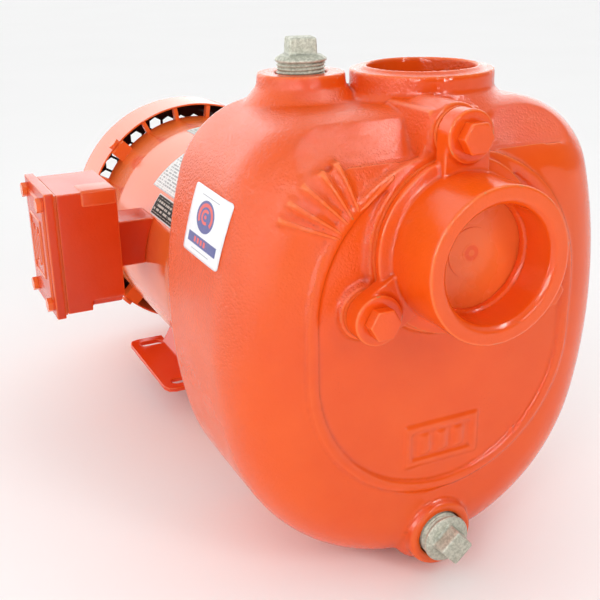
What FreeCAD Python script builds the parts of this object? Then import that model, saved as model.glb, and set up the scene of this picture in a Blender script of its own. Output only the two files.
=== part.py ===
"""Close-coupled self-priming centrifugal pump with a totally enclosed fan-cooled motor.

Frame: origin at the centre of the motor base's four slots, on the underside of the base. +Z is up, +Y runs along
the shaft from the pump to the fan, and +X is to the right of somebody facing the suction port.
"""
import FreeCAD, Part
import math
import os
from types import SimpleNamespace

import Sketcher

V = FreeCAD.Vector

# ---------------------------------------------------------------------------------------------------------------
# Driving dimensions, in millimetres
# ---------------------------------------------------------------------------------------------------------------

DRIVING = {
    # motor frame
    "shaft_height": (88.9, "shaft axis above the underside of the base"),
    "slot_spacing_across": (123.8, "base slots, centre to centre, along X"),
    "slot_spacing_along": (76.2, "base slots, centre to centre, along Y"),
    "slot_width": (8.7, "base slot width"),
    "slot_length": (18.0, "base slot length, end to end"),
    "base_width": (156.0, "base plate along X"),
    "base_length": (100.0, "base plate along Y"),
    "base_sheet": (3.0, "base sheet thickness"),
    "shell_radius": (81.0, "motor shell, outside"),
    "shell_wall": (2.0, "motor shell wall"),
    "shell_front": (-72.0, "front end of the shell"),
    "shell_rear": (50.0, "rear end of the shell"),
    "face_y": (-108.0, "mounting face of the motor"),
    "face_register": (57.15, "radius of the register on the mounting face"),
    "face_bolt_radius": (74.6, "bolt circle radius on the mounting face"),
    "bell_rear": (92.0, "rear face of the rear end bell"),
    "cover_radius": (92.0, "fan cover, outside"),
    "cover_front": (86.0, "open front rim of the fan cover"),
    "cover_rear": (135.0, "rear face of the fan cover"),
    "cover_sheet": (1.2, "fan cover sheet thickness"),
    "bearing_bore": (8.5, "bearing bore radius"),
    "bearing_outer": (20.0, "bearing outside radius"),
    "bearing_width": (12.0, "bearing width"),
    "shaft_radius": (7.94, "shaft radius at the seal"),
    "core_front": (-40.0, "front face of the stator and rotor cores"),
    "core_rear": (35.0, "rear face of the stator and rotor cores"),
    "rotor_radius": (45.5, "rotor outside radius"),
    "air_gap": (0.5, "gap between rotor and stator"),
    # pump casing
    "casing_front": (-281.0, "front face of the casing"),
    "casing_rear": (-174.0, "rear face of the casing"),
    "casing_wall": (9.0, "casing wall"),
    "belly_radius": (107.5, "round lower part of the casing"),
    "belly_drop": (3.5, "centre of the round lower part below the shaft"),
    "side_radius": (255.0, "gently bulging sides of the casing"),
    "shoulder_radius": (48.0, "upper corners of the casing"),
    "shoulder_offset": (55.0, "upper corner centres from the middle"),
    "shoulder_rise": (91.0, "upper corner centres above the shaft"),
    "front_rounding": (36.0, "fillet round the casing's front"),
    "rear_rounding": (9.0, "fillet round the casing's rear"),
    "casing_mouth": (84.0, "radius of the opening at the casing's rear"),
    # ports
    "port_rise": (77.0, "suction port axis above the shaft"),
    "port_face": (-324.0, "suction port face"),
    "port_outer": (37.7, "outside radius of the ports"),
    "port_thread": (28.6, "radius of the port threads at their crests"),
    "port_thread_length": (20.0, "length of the port threads"),
    "port_mouth": (31.0, "radius of the chamfer at the port mouths"),
    "ear_circle": (54.0, "bolt circle radius of the suction flange"),
    "ear_radius": (12.5, "ears of the suction flange"),
    "flange_front": (-294.0, "front face of the suction flange"),
    "flange_rear": (-286.0, "rear face of the suction flange"),
    "flange_radius": (44.0, "suction flange disc"),
    "gasket_thickness": (2.0, "suction flange gasket"),
    "discharge_x": (22.0, "discharge port axis along X"),
    "discharge_y": (-218.0, "discharge port axis along Y"),
    "boss_rise": (152.0, "top faces of the discharge and fill bosses above the shaft"),
    "fill_x": (-38.6, "fill plug axis along X"),
    "fill_y": (-199.0, "fill plug axis along Y"),
    "fill_boss_radius": (22.8, "fill boss"),
    "drain_drop": (87.3, "drain plug axis below the shaft"),
    "drain_boss_radius": (19.1, "drain boss"),
    "drain_face": (-283.5, "face of the drain boss behind its chamfer"),
    "plug_radius": (13.3, "thread radius of the fill and drain plugs"),
    "plug_square": (14.3, "square head of the plugs, across flats"),
    # check valve
    "flapper_radius": (30.0, "flapper disc"),
    "flapper_front": (-299.7, "front face of the flapper"),
    "flapper_thickness": (4.0, "flapper thickness"),
    # wet end
    "impeller_radius": (58.0, "impeller"),
    "vane_height": (10.0, "impeller vane height"),
    "volute_inner": (66.0, "volute, inside"),
    "volute_outer": (78.0, "volute, outside"),
    "eye_radius": (22.0, "volute eye"),
    # conduit box
    "box_inner_x": (-104.0, "back wall of the conduit box"),
    "box_outer_x": (-143.0, "open side of the conduit box"),
    "lead_y": (-16.0, "leads' way through the shell, along Y"),
    "lead_rise": (21.0, "leads' way through the shell, above the shaft"),
    "box_front": (-57.0, "front wall of the conduit box"),
    "box_length": (60.0, "conduit box along Y"),
    "box_bottom": (76.0, "underside of the conduit box"),
    "box_height": (80.0, "conduit box height"),
    "box_wall": (2.5, "conduit box wall"),
    "knockout_radius": (11.1, "conduit knockout"),
}

doc = FreeCAD.newDocument("self_priming_pump")
sheet = doc.addObject("Spreadsheet::Sheet", "dims")


class Size:
    """A length from the sheet, or worked out from it: its value now and the expression that keeps it bound."""

    def __init__(self, value, text):
        self.value = float(value)
        self.text = text

    def __add__(self, other):
        return Size(self.value + number(other), "(%s + %s)" % (self.text, words(other)))

    def __radd__(self, other):
        return self + other

    def __sub__(self, other):
        return Size(self.value - number(other), "(%s - %s)" % (self.text, words(other)))

    def __rsub__(self, other):
        return Size(number(other) - self.value, "(%s - %s)" % (words(other), self.text))

    def __mul__(self, other):
        return Size(self.value * number(other), "(%s * %s)" % (self.text, words(other)))

    def __rmul__(self, other):
        return self * other

    def __truediv__(self, other):
        return Size(self.value / number(other), "(%s / %s)" % (self.text, words(other)))

    def __neg__(self):
        return Size(-self.value, "(0 - %s)" % self.text)


def number(size):
    return size.value if isinstance(size, Size) else float(size)


def words(size):
    return size.text if isinstance(size, Size) else "(%.9g)" % size


def fill_sheet():
    sizes = SimpleNamespace()
    for row, (alias, (value, meaning)) in enumerate(DRIVING.items(), start=1):
        sheet.set("A%d" % row, meaning)
        sheet.set("B%d" % row, str(value))
        sheet.setAlias("B%d" % row, alias)
        setattr(sizes, alias, Size(value, "dims." + alias))
    doc.recompute()
    return sizes


D = fill_sheet()

# ---------------------------------------------------------------------------------------------------------------
# Building blocks
# ---------------------------------------------------------------------------------------------------------------

TURN = {
    "Z": FreeCAD.Rotation(),
    "-Z": FreeCAD.Rotation(V(1, 0, 0), 180),
    "Y": FreeCAD.Rotation(V(1, 0, 0), -90),
    "-Y": FreeCAD.Rotation(V(1, 0, 0), 90),
    "X": FreeCAD.Rotation(V(0, 1, 0), 90),
    "-X": FreeCAD.Rotation(V(0, 1, 0), -90),
}
ORIGIN = (0, 0, 0)


def bind(obj, prop, size):
    setattr(obj, prop, number(size))
    if isinstance(size, Size):
        obj.setExpression(prop, size.text)


def place(obj, at, rotation=TURN["Z"]):
    obj.Placement = FreeCAD.Placement(V(*[number(a) for a in at]), rotation)
    for letter, a in zip("xyz", at):
        if isinstance(a, Size):
            obj.setExpression("Placement.Base." + letter, a.text)


def cylinder(name, radius, length, at, along="Z"):
    obj = doc.addObject("Part::Cylinder", name)
    bind(obj, "Radius", radius)
    bind(obj, "Height", length)
    place(obj, at, TURN[along])
    return obj


def cone(name, start_radius, end_radius, length, at, along="Z"):
    obj = doc.addObject("Part::Cone", name)
    bind(obj, "Radius1", start_radius)
    bind(obj, "Radius2", end_radius)
    bind(obj, "Height", length)
    place(obj, at, TURN[along])
    return obj


def block(name, sizes, at, rotation=TURN["Z"]):
    """A box from its lowest corner."""
    obj = doc.addObject("Part::Box", name)
    for prop, size in zip(("Length", "Width", "Height"), sizes):
        bind(obj, prop, size)
    place(obj, at, rotation)
    return obj


def prism(name, across_flats, length, at, along="Z", sides=6):
    obj = doc.addObject("Part::Prism", name)
    obj.Polygon = sides
    bind(obj, "Circumradius", across_flats / (2 * math.cos(math.pi / sides)))
    bind(obj, "Height", length)
    place(obj, at, TURN[along])
    return obj


def fuse(name, *shapes):
    obj = doc.addObject("Part::MultiFuse", name)
    obj.Shapes = list(shapes)
    obj.Refine = True
    return obj


def cut(name, base, *tools):
    obj = doc.addObject("Part::Cut", name)
    obj.Base = base
    obj.Tool = tools[0] if len(tools) == 1 else fuse(name + "_tools", *tools)
    obj.Refine = True
    return obj


def common(name, base, tool):
    obj = doc.addObject("Part::Common", name)
    obj.Base = base
    obj.Tool = tool
    return obj


def group(name, shapes):
    """Separate identical solids that share one node."""
    obj = doc.addObject("Part::Compound", name)
    obj.Links = list(shapes)
    return obj


def sketch_on(body, name, plane):
    sketch = body.newObject("Sketcher::SketchObject", name)
    support = next(f for f in body.Origin.OriginFeatures if f.Role == plane)
    sketch.AttachmentSupport = [(support, "")]
    sketch.MapMode = "FlatFace"
    return sketch


def hold(sketch, kind, geometry, point, size):
    """Holds one point of a sketch at its distance from the sketch's origin, or on the axis where that is zero."""
    value = number(size)
    if abs(value) < 1e-9:
        axis = -2 if kind == "DistanceX" else -1
        sketch.addConstraint(Sketcher.Constraint("PointOnObject", geometry, point, axis))
        return
    index = sketch.addConstraint(Sketcher.Constraint(kind, -1, 1, geometry, point, value))
    if isinstance(size, Size):
        sketch.setExpression("Constraints[%d]" % index, size.text)


def closed_outline(sketch, points):
    corners = [V(number(a), number(b), 0) for a, b in points]
    following = corners[1:] + corners[:1]
    for here, there in zip(corners, following):
        sketch.addGeometry(Part.LineSegment(here, there), False)
    for edge in range(len(points)):
        sketch.addConstraint(Sketcher.Constraint("Coincident", edge, 2, (edge + 1) % len(points), 1))
    for edge, (across, up) in enumerate(points):
        hold(sketch, "DistanceX", edge, 1, across)
        hold(sketch, "DistanceY", edge, 1, up)


def turned(name, outline, at=None, along="Y"):
    """A body of revolution from (radius, distance along the axis) points."""
    body = doc.addObject("PartDesign::Body", name)
    sketch = sketch_on(body, name + "_profile", "XY_Plane" if along == "Y" else "XZ_Plane")
    closed_outline(sketch, outline)
    turn = body.newObject("PartDesign::Revolution", name + "_turn")
    turn.Profile = sketch
    turn.ReferenceAxis = (sketch, ["V_Axis"])
    turn.Angle = 360
    place(body, at if at is not None else (0, 0, D.shaft_height))
    return body


def extruded(name, outline, length, at=ORIGIN, plane="XZ_Plane", along_plus_y=True):
    """A body padded from a closed outline on one of its own planes."""
    body = doc.addObject("PartDesign::Body", name)
    sketch = sketch_on(body, name + "_profile", plane)
    closed_outline(sketch, outline)
    pad = body.newObject("PartDesign::Pad", name + "_pad")
    pad.Profile = sketch
    bind(pad, "Length", length)
    pad.Reversed = plane == "XZ_Plane" and along_plus_y
    place(body, at)
    return body


def ring(name, inner, outer, start, end, centre_x=0, centre_z=None):
    """A plain ring about an axis along Y."""
    centre = (centre_x, 0, D.shaft_height if centre_z is None else centre_z)
    return turned(name, [(inner, start), (outer, start), (outer, end), (inner, end)], centre)


def polar(radius, degrees, centre=(0, None)):
    """X and Z of a point at a radius and an angle about the shaft, or about another centre (x, z)."""
    x = centre[0] + radius * math.cos(math.radians(degrees))
    z = (D.shaft_height if centre[1] is None else centre[1]) + radius * math.sin(math.radians(degrees))
    return x, z


def hex_bolt(name, shank_radius, shank_length, across_flats, head_height, at, along):
    """A hexagon bolt whose head sits on the point 'at', with its shank pointing along 'along'."""
    opposite = along[1:] if along.startswith("-") else "-" + along
    head = prism(name + "_head", across_flats, head_height, at, opposite)
    shank = cylinder(name + "_shank", shank_radius, shank_length, at, along)
    return fuse(name, head, shank)


nodes = {}


def node(obj, label):
    obj.Label = label
    nodes[label] = obj
    return obj


# ---------------------------------------------------------------------------------------------------------------
# Pump casing
# ---------------------------------------------------------------------------------------------------------------

SHAFT = (0, D.shaft_height)
PORT_Z = D.shaft_height + D.port_rise
EAR_ANGLES = (90, 210, 330)
ADAPTER_BOLT_ANGLES = range(30, 360, 60)
ADAPTER_BOLT_CIRCLE = 94.0
RAYS = (
    ((-60.2, 87.9), (-87.7, 99.2)), ((-59.1, 90.2), (-83.1, 106.9)), ((-56.0, 94.3), (-76.3, 114.1)),
    ((-53.5, 96.2), (-67.0, 118.8)), ((-50.4, 99.2), (-59.0, 122.0)), ((-49.9, 99.6), (-32.1, 114.1)),
)


def casing_section(sketch, grow):
    """Belly, bulging sides, shoulders and a flat top, all tangent, about the shaft; 'grow' offsets it outwards."""
    belly, shoulder, side = D.belly_radius + grow, D.shoulder_radius + grow, D.side_radius + grow
    low = V(0, -number(D.belly_drop), 0)
    high = V(number(D.shoulder_offset), number(D.shoulder_rise), 0)
    apart = (high - low).Length
    from_low, from_high = number(side - belly), number(side - shoulder)
    along = (from_low ** 2 - from_high ** 2 + apart ** 2) / (2 * apart)
    aside = math.sqrt(from_low ** 2 - along ** 2)
    step = (high - low) / apart
    middle = low + step * along + V(-step.y, step.x, 0) * aside
    first = math.atan2(low.y - middle.y, low.x - middle.x)
    last = math.atan2(high.y - middle.y, high.x - middle.x)

    def arc(centre, radius, start, end):
        circle = Part.Circle(centre, V(0, 0, 1), number(radius))
        sketch.addGeometry(Part.ArcOfCircle(circle, start, end), False)

    def mirrored(point):
        return V(-point.x, point.y, 0)

    top = V(0, number(shoulder), 0)
    arc(low, belly, math.pi - first, 2 * math.pi + first)
    arc(high, shoulder, last, math.pi / 2)
    arc(mirrored(high), shoulder, math.pi / 2, math.pi - last)
    arc(middle, side, first, last)
    sketch.addGeometry(Part.LineSegment(high + top, mirrored(high) + top), False)
    arc(mirrored(middle), side, math.pi - last, math.pi - first)
    joints = ((0, 2, 3, 1), (3, 2, 1, 1), (1, 2, 4, 1), (4, 2, 2, 1), (2, 2, 5, 1), (5, 2, 0, 1))
    for before, before_end, after, after_end in joints:
        sketch.addConstraint(Sketcher.Constraint("Tangent", before, before_end, after, after_end))
    for edge, radius in ((0, belly), (1, shoulder), (2, shoulder), (3, side), (5, side)):
        index = sketch.addConstraint(Sketcher.Constraint("Radius", edge, number(radius)))
        sketch.setExpression("Constraints[%d]" % index, radius.text)
    hold(sketch, "DistanceX", 0, 3, 0)
    hold(sketch, "DistanceY", 0, 3, -D.belly_drop)
    hold(sketch, "DistanceX", 1, 3, D.shoulder_offset)
    hold(sketch, "DistanceY", 1, 3, D.shoulder_rise)
    hold(sketch, "DistanceX", 2, 3, -D.shoulder_offset)
    hold(sketch, "DistanceY", 2, 3, D.shoulder_rise)


def edges_at(feature, y):
    """Names of a feature's edges that lie wholly in the plane at y."""
    names = []
    for index, edge in enumerate(feature.Shape.Edges, start=1):
        if all(abs(vertex.Point.y - y) < 1e-4 for vertex in edge.Vertexes):
            names.append("Edge%d" % index)
    return names


def rounded_casing_block(name, grow, front, rear, front_fillet, rear_fillet):
    """The casing's section padded from front to rear, with its front and rear edges rounded."""
    body = doc.addObject("PartDesign::Body", name)
    sketch = sketch_on(body, name + "_section", "XZ_Plane")
    casing_section(sketch, grow)
    pad = body.newObject("PartDesign::Pad", name + "_pad")
    pad.Profile = sketch
    bind(pad, "Length", rear - front)
    pad.Reversed = True
    doc.recompute()
    last = pad
    for side, place_y, radius in (("front", 0.0, front_fillet), ("rear", number(rear - front), rear_fillet)):
        if radius is None:
            continue
        names = edges_at(last, place_y)
        fillet = body.newObject("PartDesign::Fillet", "%s_%s_rounding" % (name, side))
        fillet.Base = (last, names)
        bind(fillet, "Radius", radius)
        doc.recompute()
        last = fillet
    place(body, (0, front, D.shaft_height))
    return body


def stadium_ring(name, inner, outer, low, high, front, depth):
    """A raised bead: two half rings joined by straight sides, about the middle of the casing."""
    def outline(part, radius, start, length):
        lower = cylinder("%s_%s_low" % (name, part), radius, length, (0, start, D.shaft_height + low), "Y")
        upper = cylinder("%s_%s_high" % (name, part), radius, length, (0, start, D.shaft_height + high), "Y")
        middle = block("%s_%s_middle" % (name, part), (2 * radius, length, high - low),
                       (-radius, start, D.shaft_height + low))
        return fuse("%s_%s" % (name, part), lower, upper, middle)
    whole = outline("outer", outer, front, depth)
    hole = outline("inner", inner, front - 1, depth + 2)
    return cut(name, whole, hole)


def ear_boss(name, angle, start, length):
    x, z = polar(D.ear_circle, angle, (0, PORT_Z))
    return cylinder(name, D.ear_radius + 1.5, length, (x, start, z), "Y")


def tapered_ray(name, start, end, start_half, end_half):
    """One rib of the fan, seen from the front as a long narrow wedge; the casing's surface trims its depth."""
    along = V(end[0] - start[0], end[1] - start[1], 0).normalize()
    corners = []
    for (x, z), half in ((start, start_half), (end, end_half)):
        for side in (-1, 1) if half == start_half else (1, -1):
            corners.append((x - along.y * half * side, z + along.x * half * side))
    return extruded(name, corners, 60, (0, D.casing_front - 8, D.shaft_height))


def embossed_plate(name, width, height, border, rise, centre_z):
    """A raised rectangular frame with three plain bars."""
    depth = rise + 2
    front = D.casing_front - rise
    outer = block(name + "_outer", (width, depth, height), (-width / 2, front, centre_z - height / 2))
    inner = block(name + "_inner", (width - 2 * border, depth + 2, height - 2 * border),
                  (-width / 2 + border, front - 1, centre_z - height / 2 + border))
    frame = cut(name + "_frame", outer, inner)
    bars = []
    for k in (-1, 0, 1):
        bars.append(block("%s_bar_%d" % (name, k + 2), (5, depth, height * 0.46),
                          (k * 10 - 2.5, front, centre_z - height * 0.23)))
    return fuse(name, frame, *bars)


def pump_casing():
    wall = D.casing_wall
    outside = rounded_casing_block("casing_block", 0, D.casing_front, D.casing_rear,
                                   D.front_rounding, D.rear_rounding)
    skin = rounded_casing_block("casing_skin", 1.6, D.casing_front - 1.6, D.casing_rear,
                                D.front_rounding + 1.6, None)
    rays = [tapered_ray("ray_%d" % k, start, end, 0.9, 1.9) for k, (start, end) in enumerate(RAYS, start=1)]
    fan_ribs = common("fan_ribs", skin, fuse("ray_fan", *rays))
    lean = FreeCAD.Rotation(V(1, 0, 0), -38)
    reach = lean.multVec(V(0, -40, 0))
    shelf = block("casing_shelf", (240, 40, 60),
                  (-120, D.casing_front + 6.5 + reach.y, D.shaft_height + 117 + reach.z), lean)
    bead = stadium_ring("casing_bead", 72, 77, 18, 46, D.casing_front - 2.2, 8)
    shouldered = cut("casing_shouldered", fuse("casing_beaded", outside, bead), shelf)
    pad_front = D.flange_rear + D.gasket_thickness
    port_pad = cylinder("port_pad", D.flange_radius + 2, 24, (0, pad_front, PORT_Z), "Y")
    ears = [ear_boss("casing_ear_%d" % angle, angle, pad_front, 30) for angle in EAR_ANGLES]
    ear_web = extruded("ear_web", [(-18, 108), (-13, 142), (14, 142), (18, 108)], 40,
                       (0, pad_front + 2, D.shaft_height))
    discharge = cylinder("discharge_boss", D.port_outer, 44,
                         (D.discharge_x, D.discharge_y, D.shaft_height + D.boss_rise - 44))
    lip = cylinder("discharge_lip", D.port_mouth, 2.0,
                   (D.discharge_x, D.discharge_y, D.shaft_height + D.boss_rise))
    fill = cone("fill_boss", D.fill_boss_radius + 2, D.fill_boss_radius, 32,
                (D.fill_x, D.fill_y, D.shaft_height + D.boss_rise - 32))
    drain = cylinder("drain_boss", D.drain_boss_radius, 44, (0, D.drain_face, D.shaft_height - D.drain_drop), "Y")
    drain_z = D.shaft_height - D.drain_drop
    flares = [
        cone("fill_flare", 33, D.fill_boss_radius + 0.4, 12, (D.fill_x, D.fill_y, D.shaft_height + 133.5)),
        cone("discharge_flare", D.port_outer + 9, D.port_outer, 10,
             (D.discharge_x, D.discharge_y, D.shaft_height + 133)),
        cone("drain_flare", D.drain_boss_radius, D.drain_boss_radius + 4, 8, (0, D.drain_face + 5, drain_z), "Y"),
        cone("drain_flare_back", D.drain_boss_radius + 4, D.drain_boss_radius - 4, 16,
             (0, D.drain_face + 13, drain_z), "Y"),
        cone("drain_collar", D.drain_boss_radius - 1.5, D.drain_boss_radius, 2, (0, D.drain_face - 2, drain_z), "Y"),
    ]
    emblem = embossed_plate("plate_emblem", 43.5, 22, 2.4, 1.5, D.shaft_height - 31)
    body_shape = fuse("casing_body", shouldered, fan_ribs, *flares, port_pad, *ears, ear_web, discharge, lip,
                      fill, drain, emblem)

    cavity = rounded_casing_block("casing_cavity", -wall, D.casing_front + wall + 1, D.casing_rear - wall - 1,
                                  D.front_rounding - wall, None)
    hollow = cut("casing_hollow", body_shape, cavity)

    duct_depth = 38
    duct_front = D.casing_front + wall
    duct_outer = block("duct_outer", (92, duct_depth + 6, 158),
                       (-46, duct_front, D.shaft_height - 37))
    inner_bosses = []
    for angle in ADAPTER_BOLT_ANGLES:
        x, z = polar(ADAPTER_BOLT_CIRCLE, angle)
        inner_bosses.append(cylinder("adapter_boss_%d" % angle, 9, 22, (x, D.casing_rear - 23, z), "Y"))
    for angle in EAR_ANGLES:
        x, z = polar(D.ear_circle, angle, (0, PORT_Z))
        inner_bosses.append(cylinder("ear_inner_boss_%d" % angle, 11, 17, (x, D.casing_front + 4, z), "Y"))
    drain_inner = cylinder("drain_inner_boss", D.drain_boss_radius, 30, (0, D.casing_front + 6, drain_z), "Y")
    inner_metal = common("casing_inner_metal", fuse("casing_inner_lumps", duct_outer, *inner_bosses, drain_inner),
                         outside)
    filled = fuse("casing_filled", hollow, inner_metal)

    duct_inner = block("duct_inner", (80, duct_depth, 146), (-40, duct_front + 0.01, D.shaft_height - 31))
    port_hole = cylinder("port_hole", 36, 30, (0, D.flange_rear - 1, PORT_Z), "Y")
    hub_hole = cylinder("hub_hole", D.eye_radius + 5, 16, (0, duct_front + duct_depth - 4, D.shaft_height), "Y")
    rear_mouth = cylinder("rear_mouth", D.casing_mouth, 14, (0, D.casing_rear - 12, D.shaft_height), "Y")
    discharge_hole = cylinder("discharge_hole", D.port_thread, 40,
                              (D.discharge_x, D.discharge_y, D.shaft_height + D.boss_rise - 27))
    fill_hole = cylinder("fill_hole", D.plug_radius + 0.05, 50,
                         (D.fill_x, D.fill_y, D.shaft_height + D.boss_rise - 42))
    drain_hole = cylinder("drain_hole", D.plug_radius + 0.05, 60, (0, D.drain_face - 5, drain_z), "Y")
    holes = [duct_inner, port_hole, hub_hole, rear_mouth, discharge_hole, fill_hole, drain_hole]
    for angle in ADAPTER_BOLT_ANGLES:
        x, z = polar(ADAPTER_BOLT_CIRCLE, angle)
        holes.append(cylinder("adapter_hole_%d" % angle, 5.0, 18, (x, D.casing_rear - 17, z), "Y"))
    for angle in EAR_ANGLES:
        x, z = polar(D.ear_circle, angle, (0, PORT_Z))
        holes.append(cylinder("ear_hole_%d" % angle, 5.5, 22, (x, D.flange_rear - 1, z), "Y"))
    node(cut("pump_casing", filled, *holes), "pump_casing")
    return outside


def suction_flange():
    centre = (0, 0, PORT_Z)
    seat = D.port_face + D.port_thread_length
    profile = [
        (D.port_mouth, D.port_face), (D.port_outer, D.port_face), (D.port_outer, D.flange_front + 3),
        (D.flange_radius, D.flange_front + 4), (D.flange_radius, D.flange_rear), (35.0, D.flange_rear),
        (35.0, seat + 4), (27.0, seat + 4), (27.0, seat), (D.port_thread, seat),
        (D.port_thread, D.port_face + 2.4),
    ]
    barrel = turned("flange_barrel", profile, centre)
    ears = []
    holes = [cylinder("flange_clear", 35, 60, (0, D.port_face - 5, PORT_Z), "Y")]
    for angle in EAR_ANGLES:
        x, z = polar(D.ear_circle, angle, (0, PORT_Z))
        thickness = D.flange_rear - D.flange_front + 2.5
        ears.append(cylinder("flange_ear_%d" % angle, D.ear_radius, thickness, (x, D.flange_front - 2.5, z), "Y"))
        rotation = FreeCAD.Rotation(V(0, 1, 0), 90 - angle)
        offset = rotation.multVec(V(-number(D.ear_radius), 0, 0))
        ears.append(block("flange_arm_%d" % angle, (2 * D.ear_radius, D.flange_rear - D.flange_front, D.ear_circle),
                          (offset.x, D.flange_front, PORT_Z + offset.z), rotation))
        holes.append(cylinder("flange_hole_%d" % angle, 5.8, 30, (x, D.flange_front - 10, z), "Y"))
    ear_metal = cut("flange_ears", fuse("flange_ear_lumps", *ears), *holes)
    node(fuse("suction_flange", barrel, ear_metal), "suction_flange")

    gasket = ring("gasket_ring", 36, D.flange_radius, D.flange_rear, D.flange_rear + D.gasket_thickness,
                  centre_z=PORT_Z)
    tabs = []
    tab_holes = []
    for angle in EAR_ANGLES:
        x, z = polar(D.ear_circle, angle, (0, PORT_Z))
        tabs.append(cylinder("gasket_tab_%d" % angle, D.ear_radius, D.gasket_thickness, (x, D.flange_rear, z), "Y"))
        tab_holes.append(cylinder("gasket_hole_%d" % angle, 5.8, 4, (x, D.flange_rear - 1, z), "Y"))
    tab_holes.append(cylinder("gasket_clear", 36, 4, (0, D.flange_rear - 1, PORT_Z), "Y"))
    tab_metal = cut("gasket_tabs", fuse("gasket_tab_lumps", *tabs), *tab_holes)
    node(fuse("flange_gasket", gasket, tab_metal), "flange_gasket")

    bolts = []
    for angle in EAR_ANGLES:
        x, z = polar(D.ear_circle, angle, (0, PORT_Z))
        bolts.append(hex_bolt("flange_bolt_%d" % angle, 5.5, 26, 14.3, 6.6, (x, D.flange_front - 2.5, z), "Y"))
    node(group("suction_flange_bolts", bolts), "suction_flange_bolts")


def check_valve():
    """Rubber flapper hung from its top edge, with a front washer, a rear weight and one rivet."""
    hinge_z = PORT_Z + D.flapper_radius + 1.5
    middle = D.flapper_front + D.flapper_thickness / 2
    disc = cylinder("flapper_disc", D.flapper_radius, D.flapper_thickness, (0, D.flapper_front, PORT_Z), "Y")
    tab = block("flapper_tab", (16, D.flapper_thickness, 12), (-8, D.flapper_front, hinge_z - 12))
    roll = cylinder("flapper_roll", D.flapper_thickness / 2, 16, (-8, middle, hinge_z), "X")
    hole = cylinder("flapper_rivet_hole", 3, 10, (0, D.flapper_front - 2, PORT_Z), "Y")
    node(cut("flapper", fuse("flapper_rubber", disc, tab, roll), hole), "flapper")
    node(ring("flapper_washer", 3, 12.5, D.flapper_front - 0.4, D.flapper_front, centre_z=PORT_Z),
         "flapper_washer")
    rear = D.flapper_front + D.flapper_thickness
    node(ring("flapper_weight", 3, 21, rear, rear + 5, centre_z=PORT_Z), "flapper_weight")
    rivet = [(0, D.flapper_front - 0.7), (5, D.flapper_front - 0.5), (5, D.flapper_front - 0.4),
             (3, D.flapper_front - 0.4), (3, rear + 5), (5, rear + 5), (5, rear + 6.5), (0, rear + 6.5)]
    node(turned("flapper_rivet", rivet, (0, 0, PORT_Z)), "flapper_rivet")


def pipe_plug(name, at, along):
    """A square-head pipe plug: threads into the boss, a chamfered collar and a square."""
    into = along[1:] if along.startswith("-") else "-" + along
    thread = cylinder(name + "_thread", D.plug_radius, 20, at, into)
    collar = cylinder(name + "_collar", D.plug_radius, 4.6, at, along)
    shift = V(0, 0, 1) if along == "Z" else V(0, -1, 0)
    top = tuple(a + 4.6 * s for a, s in zip(at, shift))
    neck = cone(name + "_neck", D.plug_radius, 10.4, 2.2, top, along)
    square = prism(name + "_square", D.plug_square, 13, top, along, sides=4)
    return node(fuse(name, thread, collar, neck, square), name)


# ---------------------------------------------------------------------------------------------------------------
# Wet end behind the casing
# ---------------------------------------------------------------------------------------------------------------

SPIGOT_FRONT = D.casing_rear - 10
SEAL_FACE = D.casing_rear + 4


def volute_and_bolts():
    inside_front = SPIGOT_FRONT - 17
    front = inside_front - 6
    neck = front - 27
    profile = [
        (D.eye_radius, neck), (D.eye_radius + 4.8, neck), (D.eye_radius + 4.8, neck + 2),
        (D.eye_radius + 3.2, neck + 2), (D.eye_radius + 3.2, neck + 5), (D.eye_radius + 4.8, neck + 5),
        (D.eye_radius + 4.8, front), (D.volute_outer, front), (D.volute_outer, SPIGOT_FRONT),
        (D.volute_inner, SPIGOT_FRONT), (D.volute_inner, inside_front), (D.eye_radius, inside_front),
    ]
    housing = turned("volute_housing", profile)
    outlet = block("volute_outlet", (34, 13, 30), (-17, inside_front + 2, D.shaft_height + D.volute_inner - 8))
    holes = [outlet]
    bolts = []
    for angle in (45, 135, 225, 315):
        x, z = polar(72, angle)
        holes.append(cylinder("volute_hole_%d" % angle, 3.1, 40, (x, front - 5, z), "Y"))
        bolts.append(hex_bolt("volute_bolt_%d" % angle, 3.0, 32, 10, 4, (x, front, z), "Y"))
    node(cut("volute", housing, *holes), "volute")
    node(group("volute_bolts", bolts), "volute_bolts")
    node(ring("volute_o_ring", D.eye_radius + 3.2, D.eye_radius + 5, neck + 2, neck + 5), "volute_o_ring")


def vane_outline(root, tip, sweep, thickness, steps=7):
    """One curved vane: its centre line spirals out while it sweeps back, and is thickened to both sides."""
    edges = ([], [])
    for step in range(steps):
        part = step / (steps - 1)
        radius = root + (tip - root) * part
        turn = math.radians(-sweep * part)
        half = math.atan2(thickness / 2, number(radius))
        for side, edge in zip((1, -1), edges):
            edge.append((radius * math.cos(turn + side * half), radius * math.sin(turn + side * half)))
    return edges[0] + edges[1][::-1]


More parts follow.
